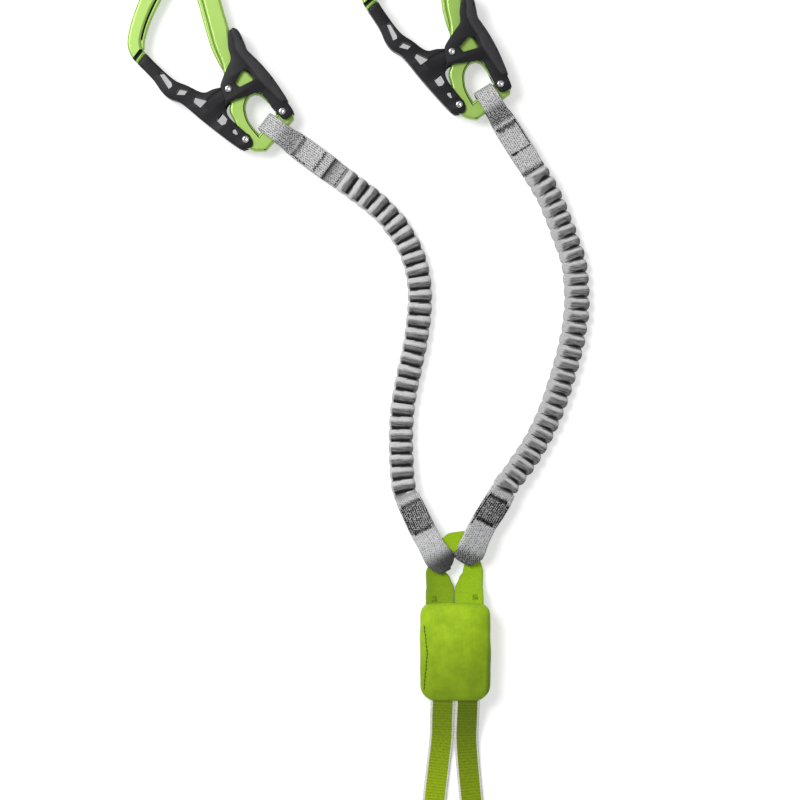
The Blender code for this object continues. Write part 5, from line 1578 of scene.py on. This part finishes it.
def draped(x, y, z):
    """A point of the blown-up box, moved to the sewn cover's shape."""
    side = x / (POUCH_WIDTH / 2)
    end = y / (POUCH_LENGTH / 2)
    rise = (z - POUCH_HEIGHT / 2) / (POUCH_HEIGHT / 2)
    crown = max(0.0, (1 - side * side) * (1 - end * end))
    if rise > 0:
        z -= (POUCH_CROWN * (1 - crown ** 0.8) + POUCH_TILT * (0.5 - 0.5 * end)) * rise
        z -= POUCH_SLUMP * (max(0.0, 0.35 - end) / 1.35) ** 1.5 * rise
        z += POUCH_RIPPLE * noise.noise(Vector((x * 80, y * 45, 0.0))) * rise
        z -= SEAM_GROOVE * rise * 2.718 ** (-((x - seam_place(y)) / SEAM_GROOVE) ** 2)
    corner = abs(side) ** 3 * abs(end) ** 3
    pinch = max(0.0, -end - 0.66) / 0.34
    x *= 1.0 - 0.12 * pinch * pinch - 0.02 * corner
    shoulder = eased(end, 0.55, 0.9) * eased(abs(side), 0.55, 0.9)
    x += SHOULDER_REACH * shoulder * (1 if side > 0 else -1)
    y += SHOULDER_RISE * shoulder + END_BULGE * (1.0 - side * side) * eased(end, 0.75, 1.0)
    x += POUCH_SIDE_RIPPLE * noise.noise(Vector((z * 120, y * 110, 4.0))) * abs(side)
    return (x, y, max(0.0, z))


def seam_place(y):
    """Where the sewn line down the pouch's left side runs."""
    return between(POUCH_SEAM, y) + SEAM_SWAY * noise.noise(Vector((y * 260.0, 1.0, 6.0)))


def cover_painted_shade(x, y, z):
    """How light the cover is painted, as painted shade: darker towards the harness loop, down the
    right side and inside its openings."""
    half_x, half_y = POUCH_WIDTH / 2, POUCH_LENGTH / 2
    if (abs(y) < half_y - COVER_LINING[1] and abs(z - EXIT_HEIGHT) < COVER_LINING[2]
            and abs(x) < half_x - COVER_LINING[0]):
        return 0.25
    tone = 1.06 - 0.34 * eased(-y, *COVER_SHADE)
    near, far = COVER_BAND
    dark = eased(x, near - COVER_BAND_GAIN * eased(-y, *COVER_BAND_WIDENS), far)
    dark *= eased(z, *COVER_BAND_RISE)
    return tone * (1.0 - (0.24 + 0.24 * eased(-y, *COVER_BAND_DEEPENS)) * dark)


def pouch(coats):
    """The absorber's cover: a blown-up box, draped, cut open at both ends, hemmed and sewn."""
    made = blown_box()
    half_x, half_y, half_z = POUCH_WIDTH / 2, POUCH_LENGTH / 2, POUCH_HEIGHT / 2
    reach_x = max(abs(vertex.co.x) for vertex in made.data.vertices)
    reach_y = max(abs(vertex.co.y) for vertex in made.data.vertices)
    reach_z = max(abs(vertex.co.z - half_z) for vertex in made.data.vertices)
    for vertex in made.data.vertices:
        x, y, z = vertex.co
        z = half_z * (1.0 + (z - half_z) / reach_z)
        vertex.co = draped(x * half_x / reach_x, y * half_y / reach_y, z)
    smooth = made.modifiers.new("Smooth", "SUBSURF")
    smooth.levels = 1
    smooth.render_levels = 1
    made = baked(made, "pouch_blank")
    openings = []
    hems = []
    for number, (width, x, side) in enumerate(((SLING_SPREAD + SLING_WIDTH, SLING_MIDDLE, 1),
                                               (TIE_SPREAD + TIE_WIDTH, 0.0, -1))):
        bpy.ops.mesh.primitive_cube_add(size=1.0, location=(x, side * half_y, EXIT_HEIGHT))
        tool = bpy.context.object
        tool.scale = (width + EXIT_ROOM, EXIT_DEPTH, SLING_THICKNESS + EXIT_ROOM)
        openings.append(tool)
        higher, wider = HEM_ROOM
        rim = stadium(SLING_THICKNESS + higher, width + wider, 90.0, (0.0, 0.0))
        points = [Vector((x + point.x, side * (half_y - HEM_INSET), EXIT_HEIGHT + point.y))
                  for point in rim]
        hems.append(cord_mesh("pouch_hem_" + str(number + 1), points, HEM_RADIUS, 3, True))
    made = shaped(made, openings)
    made.name = made.data.name = "absorber_pouch"
    made.data.shade_smooth()
    made.data.set_sharp_from_angle(angle=radians(50))
    painted(made.data, "tone", [(cover_painted_shade(*vertex.co), 0.0) for vertex in made.data.vertices])
    soft(made, coats["cover"], "absorber_pouch")
    for hem, tone in zip(hems, HEM_SHADES):
        painted(hem.data, "tone", [(tone, 0.0)] * len(hem.data.vertices))
        for face in hem.data.polygons:
            face.use_smooth = True
        soft(hem, coats["cover"])
    first, last = POUCH_SEAM[0][0], POUCH_SEAM[-1][0]
    turns = int((last - first) / SEAM_STITCH) * 4
    points = []
    for k in range(turns + 1):
        y = first + (last - first) * k / turns
        points.append(Vector((seam_place(y), y, EXIT_HEIGHT)))
    settle(points, made, 0.0)
    for k, point in enumerate(points):
        point.z += SEAM_LIFT if k % 4 else SEAM_DIP
    soft(cord_mesh("pouch_seam", points, SEAM_RADIUS), coats["lime_thread"])


def frame_grooves(rim, coats):
    """Tools for the fine grooves along the frame's creases, beside its bar and round its eyelet,
    each carrying a darker anodising that paints shade in the groove it cuts."""
    first, last = [int(TRACE_STEPS * spot) for spot in CREASE_SPAN]
    crease = trace(plan(FRAME_FRONT_SHARES))[first:last]
    top = max(range(len(crease)), key=lambda k: crease[k].y)
    line = [Vector(spot) for spot in FRAME_LINE]
    tools = []
    for face in (-1, 1):
        low = face * (FLANGE_THICKNESS / 2 + GROOVE_LIFT)
        high = face * FRAME_HALF
        # The spine's crease is lined with a mid-green painted shade, the other grooves with a
        # darker one.
        for points, level, radius, coat, closed in (
                (crease[:top], low, SPINE_CREASE_RADIUS, "crease", False),
                (crease[top + 1:], low, CREASE_RADIUS, "recess_shadow", False),
                (line, high, LINE_RADIUS, "recess_shadow", False),
                (rim, high, RIM_RADIUS, "recess_shadow", True)):
            groove = cord_mesh("crease", [(point.x, point.y, level) for point in points], radius,
                               2, closed)
            groove.data.materials.clear()
            groove.data.materials.append(coats[coat])
            tools.append(groove)
    return tools


def frame_piece(side, hub, coats):
    """The forged body: a rounded plate with a thin inner lip, bores, slots and fine grooves."""
    gate_pivot, lever_pivot = plan([GATE_PIVOT_SHARE, LEVER_PIVOT_SHARE])
    nose = [(*polar(gate_pivot, NOSE_REACH, angle), CORNER) for angle in NOSE_ANGLES]
    low = [bar_point(share * FRAME_WIDTH, -BAR_WIDTH / 2) for share in BAR_END_SHARES]
    outline = plan(FRAME_BACK_SHARES) + [(*spot, CORNER) for spot in low]
    outline += plan(FRAME_FRONT_SHARES) + nose[::-1]
    high = [bar_point(share * FRAME_WIDTH, BAR_WIDTH / 2) for share in EYELET_BAR_SHARES]
    eyelet = trace(plan(EYELET_TOP_SHARES) + [(*spot, CORNER) for spot in high])
    name = side + "_frame"
    body = flat(name, trace(outline), FRAME_HALF, FRAME_ROUNDING, [eyelet])
    flange = flat("flange", trace(plan(FLANGE_SHARES)), FLANGE_THICKNESS / 2, FLANGE_ROUNDING)
    body = shaped(body, [flange], "UNION")
    body.data.materials.clear()
    body.data.materials.append(coats["alloy"])
    tools = []
    for pivot in (gate_pivot, lever_pivot):
        tools.append(bored(RIVET_RADIUS + CLEARANCE, FRAME_HALF, pivot))
        tools.append(drum(POCKET_RADIUS, FRAME_HALF - POCKET_DEPTH, FRAME_HALF + OVERRUN, pivot))
    wide, long, deep = NOSE_SLOT
    middle = NOSE_ANGLES[1]
    spot = polar(gate_pivot, NOSE_REACH + NOSE_SLOT_INSET, middle)
    slots = sunk(stadium(wide, long, middle, spot), FRAME_HALF, deep)
    # The nose slots are lined with painted shade.
    for slot in slots:
        slot.data.materials.append(coats["recess_shadow"])
    tools += slots + frame_grooves(enlarged(eyelet, RIM_SHARE), coats)
    for tool in tools:
        if not tool.data.materials:
            tool.data.materials.append(coats["alloy"])
    finished(shaped(body, tools), coats["alloy"], side + "_carabiner", name, hub,
             FACET_ANGLE)


def stadium(wide, long, angle, middle):
    """A slot with round ends, square to a direction."""
    along = heading(angle + 90.0).to_2d()
    across = heading(angle).to_2d()
    points = []
    for end in (1, -1):
        for k in range(TURN_STEPS + 1):
            turn = -pi / 2 + pi * k / TURN_STEPS
            spot = along * (end * (long / 2 - wide / 2) + end * wide / 2 * cos(turn))
            points.append(Vector(middle) + spot + across * (end * wide / 2 * sin(turn)))
    return points


def enlarged(outline, times):
    """The outline, scaled about the middle of its points."""
    middle = sum(outline, Vector((0.0, 0.0))) / len(outline)
    return [middle + (point - middle) * times for point in outline]


def gate_piece(side, hub, coats):
    """The gate: two cheeks over the frame, with windows and the studs' tracks."""
    pivot, stud = plan([GATE_PIVOT_SHARE, STUD_SHARE])
    tip = [(*polar(pivot, NOSE_REACH - NOSE_GAP, angle), CORNER) for angle in NOSE_ANGLES]
    outline = tip[:1] + plan(GATE_SHARES) + tip[:0:-1]
    name = side + "_gate"
    body = flat(name, trace(outline), GATE_HALF, GATE_ROUNDING, [], 2)
    reach = hypot(stud[0] - pivot[0], stud[1] - pivot[1])
    inner = reach - STUD_TRAVEL - STUD_RADIUS - CLEARANCE
    outer = reach + STUD_RADIUS + CLEARANCE
    first, last = TRACK_ANGLES
    sweep = [first + (last - first) * k / TRACK_STEPS for k in range(TRACK_STEPS + 1)]
    track = [Vector(polar(pivot, inner, angle)) for angle in sweep]
    track += [Vector(polar(pivot, outer, angle)) for angle in sweep[::-1]]
    tools = [flat("slot", corners(plan(GATE_SLOT_SHARES)), GATE_INNER)]
    tools.append(bored(RIVET_RADIUS + CLEARANCE, GATE_HALF, pivot))
    for shares in GATE_WINDOW_SHARES:
        window = enlarged(corners(plan(shares)), WINDOW_SHARE)
        tools.append(flat("window", window, GATE_HALF + OVERRUN))
    tools += sunk(track, GATE_HALF, TRACK_DEPTH)
    finished(shaped(body, tools), coats["black"], side + "_gate_body", name,
             hub)


def lever_piece(side, hub, coats):
    """The lever: two cheeks over the frame and the gate."""
    window = corners(plan(LEVER_WINDOW_SHARES))
    name = side + "_lever"
    body = flat(name, trace(plan(LEVER_SHARES)), LEVER_HALF, LEVER_ROUNDING, [window], 2)
    tools = [flat("slot", corners(plan(LEVER_SLOT_SHARES)), LEVER_INNER)]
    for spot, radius in zip(plan([LEVER_PIVOT_SHARE, STUD_SHARE]), (RIVET_RADIUS, STUD_RADIUS)):
        tools.append(bored(radius + CLEARANCE, LEVER_HALF, spot))
    finished(shaped(body, tools), coats["black"], side + "_lever_body", name,
             hub)


def grip_piece(side, hub, coats):
    """The soft skin over the lever's back, with its row of notches."""
    name = side + "_lever_grip"
    body = flat(name, trace(plan(GRIP_SHARES)), GRIP_HALF, GRIP_ROUNDING)
    tools = [flat("seat", corners(plan(GRIP_SEAT_SHARES)), GRIP_INNER)]
    for spot in plan(GRIP_NOTCH_SHARES):
        tools.append(drum(NOTCH_RADIUS, GRIP_INNER - OVERRUN, GRIP_HALF + OVERRUN, spot, 12))
    finished(shaped(body, tools), coats["rubber"], side + "_lever_body", name, hub)


def turned(name, profile):
    """A piece turned round +Z from points of radius and height."""
    mesh = bpy.data.meshes.new(name)
    mesh.from_pydata([(radius, 0.0, height) for radius, height in profile],
                     [(i, i + 1) for i in range(len(profile) - 1)], [])
    made = link(bpy.data.objects.new(name, mesh))
    turn = made.modifiers.new("Turn", "SCREW")
    turn.steps = turn.render_steps = 36
    turn.use_merge_vertices = True
    turn.merge_threshold = WELD
    return welded(baked(made, name))


def dome(seat, height):
    """A rivet head's profile from its middle to its rim: domed, with a shallow dimple."""
    return [(out * HEAD_RADIUS, seat + height * up) for out, up in (
        (0.0, 0.80), (0.22, 0.82), (0.36, 0.98), (0.55, 1.0), (0.78, 0.86), (0.93, 0.55),
        (1.0, 0.2), (1.0, 0.0))]


def rivet_piece(side, tag, hub, seat, coats):
    """A rivet with a domed head above and a flat one below."""
    name = side + "_" + tag + "_rivet"
    under = [(out, -up) for out, up in dome(seat, HEAD_HEIGHT)]
    profile = dome(seat, HEAD_DOME) + [(RIVET_RADIUS, seat), (RIVET_RADIUS, -seat)] + under[::-1]
    body = turned(name, profile)
    share = GATE_PIVOT_SHARE if tag == "gate" else LEVER_PIVOT_SHARE
    spot = plan([share])[0]
    placement = hub @ Matrix.Translation((*spot, 0.0))
    finished(body, coats["steel"], side + "_carabiner", name, placement)


def stud_piece(side, tag, hub, coats):
    """A stud in one of the lever's cheeks, which runs in the gate's track."""
    name = side + "_lock_stud_" + tag
    foot = GATE_HALF - TRACK_DEPTH + CLEARANCE
    height = HEAD_DOME if tag == "upper" else HEAD_HEIGHT
    profile = dome(GRIP_INNER, height)
    profile += [(STUD_RADIUS, GRIP_INNER), (STUD_RADIUS, foot), (0.0, foot)]
    body = turned(name, profile)
    placement = hub @ Matrix.Translation((*plan([STUD_SHARE])[0], 0.0))
    if tag == "under":
        placement = placement @ Matrix.Rotation(pi, 4, "X")
    finished(body, coats["steel"], side + "_lever_body", name, placement)


def arm(side, coats):
    """One gathered arm with its two eyes and its carabiner."""
    route, top_angle, low_angle, turn = SIDES[side][:4]
    hook = SIDES[side][5]
    eye = JUNCTION + Vector((*hook, 0.0))
    foot = eye - heading(low_angle) * LOW_EYE_HOOK
    spots = [Vector((foot.x + x, foot.y + y, z)) for x, y, z in route]
    head = Vector((spots[0].x, spots[0].y, CARABINER_HEIGHT))
    gathered_arm(side, spots, coats)
    top_eye(side, head, top_angle, coats)
    low_eye(side, foot, low_angle, coats)
    middle = head + heading(top_angle) * TOP_EYE_LENGTH
    hub = Matrix.Translation(middle) @ Matrix.Rotation(radians(turn), 4, "Z")
    frame_piece(side, hub, coats)
    gate_piece(side, hub, coats)
    lever_piece(side, hub, coats)
    grip_piece(side, hub, coats)
    rivet_piece(side, "gate", hub, GATE_HALF + CLEARANCE, coats)
    rivet_piece(side, "lever", hub, GRIP_INNER, coats)
    for tag in ("upper", "under"):
        stud_piece(side, tag, hub, coats)
    for tag in ("gate", "lever"):
        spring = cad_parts[side + "_" + tag + "_spring"]
        for slot in spring.material_slots:
            slot.material = coats["spring"]


def view_and_light(coats):
    """The camera, the table, the lamps and the pale surroundings."""
    eye = bpy.data.cameras.new("view")
    eye.sensor_width = SENSOR
    eye.lens = SENSOR * (VIEW_HEIGHT - VIEW_LEVEL) / VIEW_WIDTH
    eye.clip_end = VIEW_REACH
    camera = link(bpy.data.objects.new("view", eye))
    camera.location = (*VIEW_MIDDLE, VIEW_HEIGHT)
    SCENE.camera = camera
    middle = Vector((*VIEW_MIDDLE, 0.0))
    bpy.ops.mesh.primitive_plane_add(size=TABLE_SIZE, location=middle)
    table = bpy.context.object
    table.name = "table"
    table.data.materials.append(coats["floor"])
    for name, (spot, size, power) in LAMPS.items():
        lamp = bpy.data.lights.new(name, "AREA")
        lamp.size = size
        lamp.energy = power
        made = link(bpy.data.objects.new(name, lamp))
        made.location = Vector(spot) + middle
        made.rotation_euler = (middle - made.location).to_track_quat("-Z", "Y").to_euler()
    world = bpy.data.worlds.new("studio")
    world.use_nodes = True
    SCENE.world = world
    backdrop = world.node_tree.nodes["Background"]
    backdrop.inputs["Color"].default_value = (1.0, 1.0, 1.0, 1.0)
    backdrop.inputs["Strength"].default_value = WORLD_LIGHT
    SCENE.view_settings.view_transform = "Standard"


def main():
    coats = {
        "floor": floor_coat(),
        "alloy": alloy_coat(),
        "black": moulding_coat(),
        "rubber": rubber_coat(),
        "steel": steel_coat("bright_steel", (0.80, 0.80, 0.81), 0.22),
        "spring": steel_coat("spring_steel", (0.55, 0.54, 0.52), 0.30),
        "webbing": webbing_coat("grey_webbing", (0.74, 0.74, 0.75), (0.012, 0.012, 0.014)),
        "bungee": bungee_coat(),
        "elastic": webbing_coat("elastic", (0.60, 0.58, 0.52), (0.30, 0.28, 0.25)),
        "lime": webbing_coat("lime_webbing", (0.40, 0.66, 0.012), (0.20, 0.38, 0.006), None,
                             1.0, 1.6, 0.6),
        "tie": webbing_coat("harness_webbing", (0.40, 0.58, 0.006), (0.12, 0.20, 0.002),
                            (0.95, 0.97, 0.88), 1.0, 0.9, 0.7, 1.8),
        "tape": webbing_coat("tear_tape", (0.70, 0.68, 0.60), (0.36, 0.34, 0.28)),
        "cover": cover_coat(),
        "thread": thread_coat("black_thread", (0.003, 0.003, 0.004), (0.012, 0.012, 0.014)),
        "lime_thread": thread_coat("green_thread", (0.03, 0.06, 0.001), (0.12, 0.20, 0.004)),
        # painted shade for the frame's slots, grooves and creases
        "recess_shadow": groove_shade_coat("groove_shade_anodising", (0.006, 0.014, 0.002), (0.022, 0.050, 0.008)),
        "crease": groove_shade_coat("crease_shade_anodising", (0.09, 0.17, 0.02), (0.14, 0.25, 0.04)),
    }
    view_and_light(coats)
    for side in SIDES:
        arm(side, coats)
    upper_sling(coats)
    harness_loop(coats)
    pouch(coats)
    tear_tape(coats)


main()
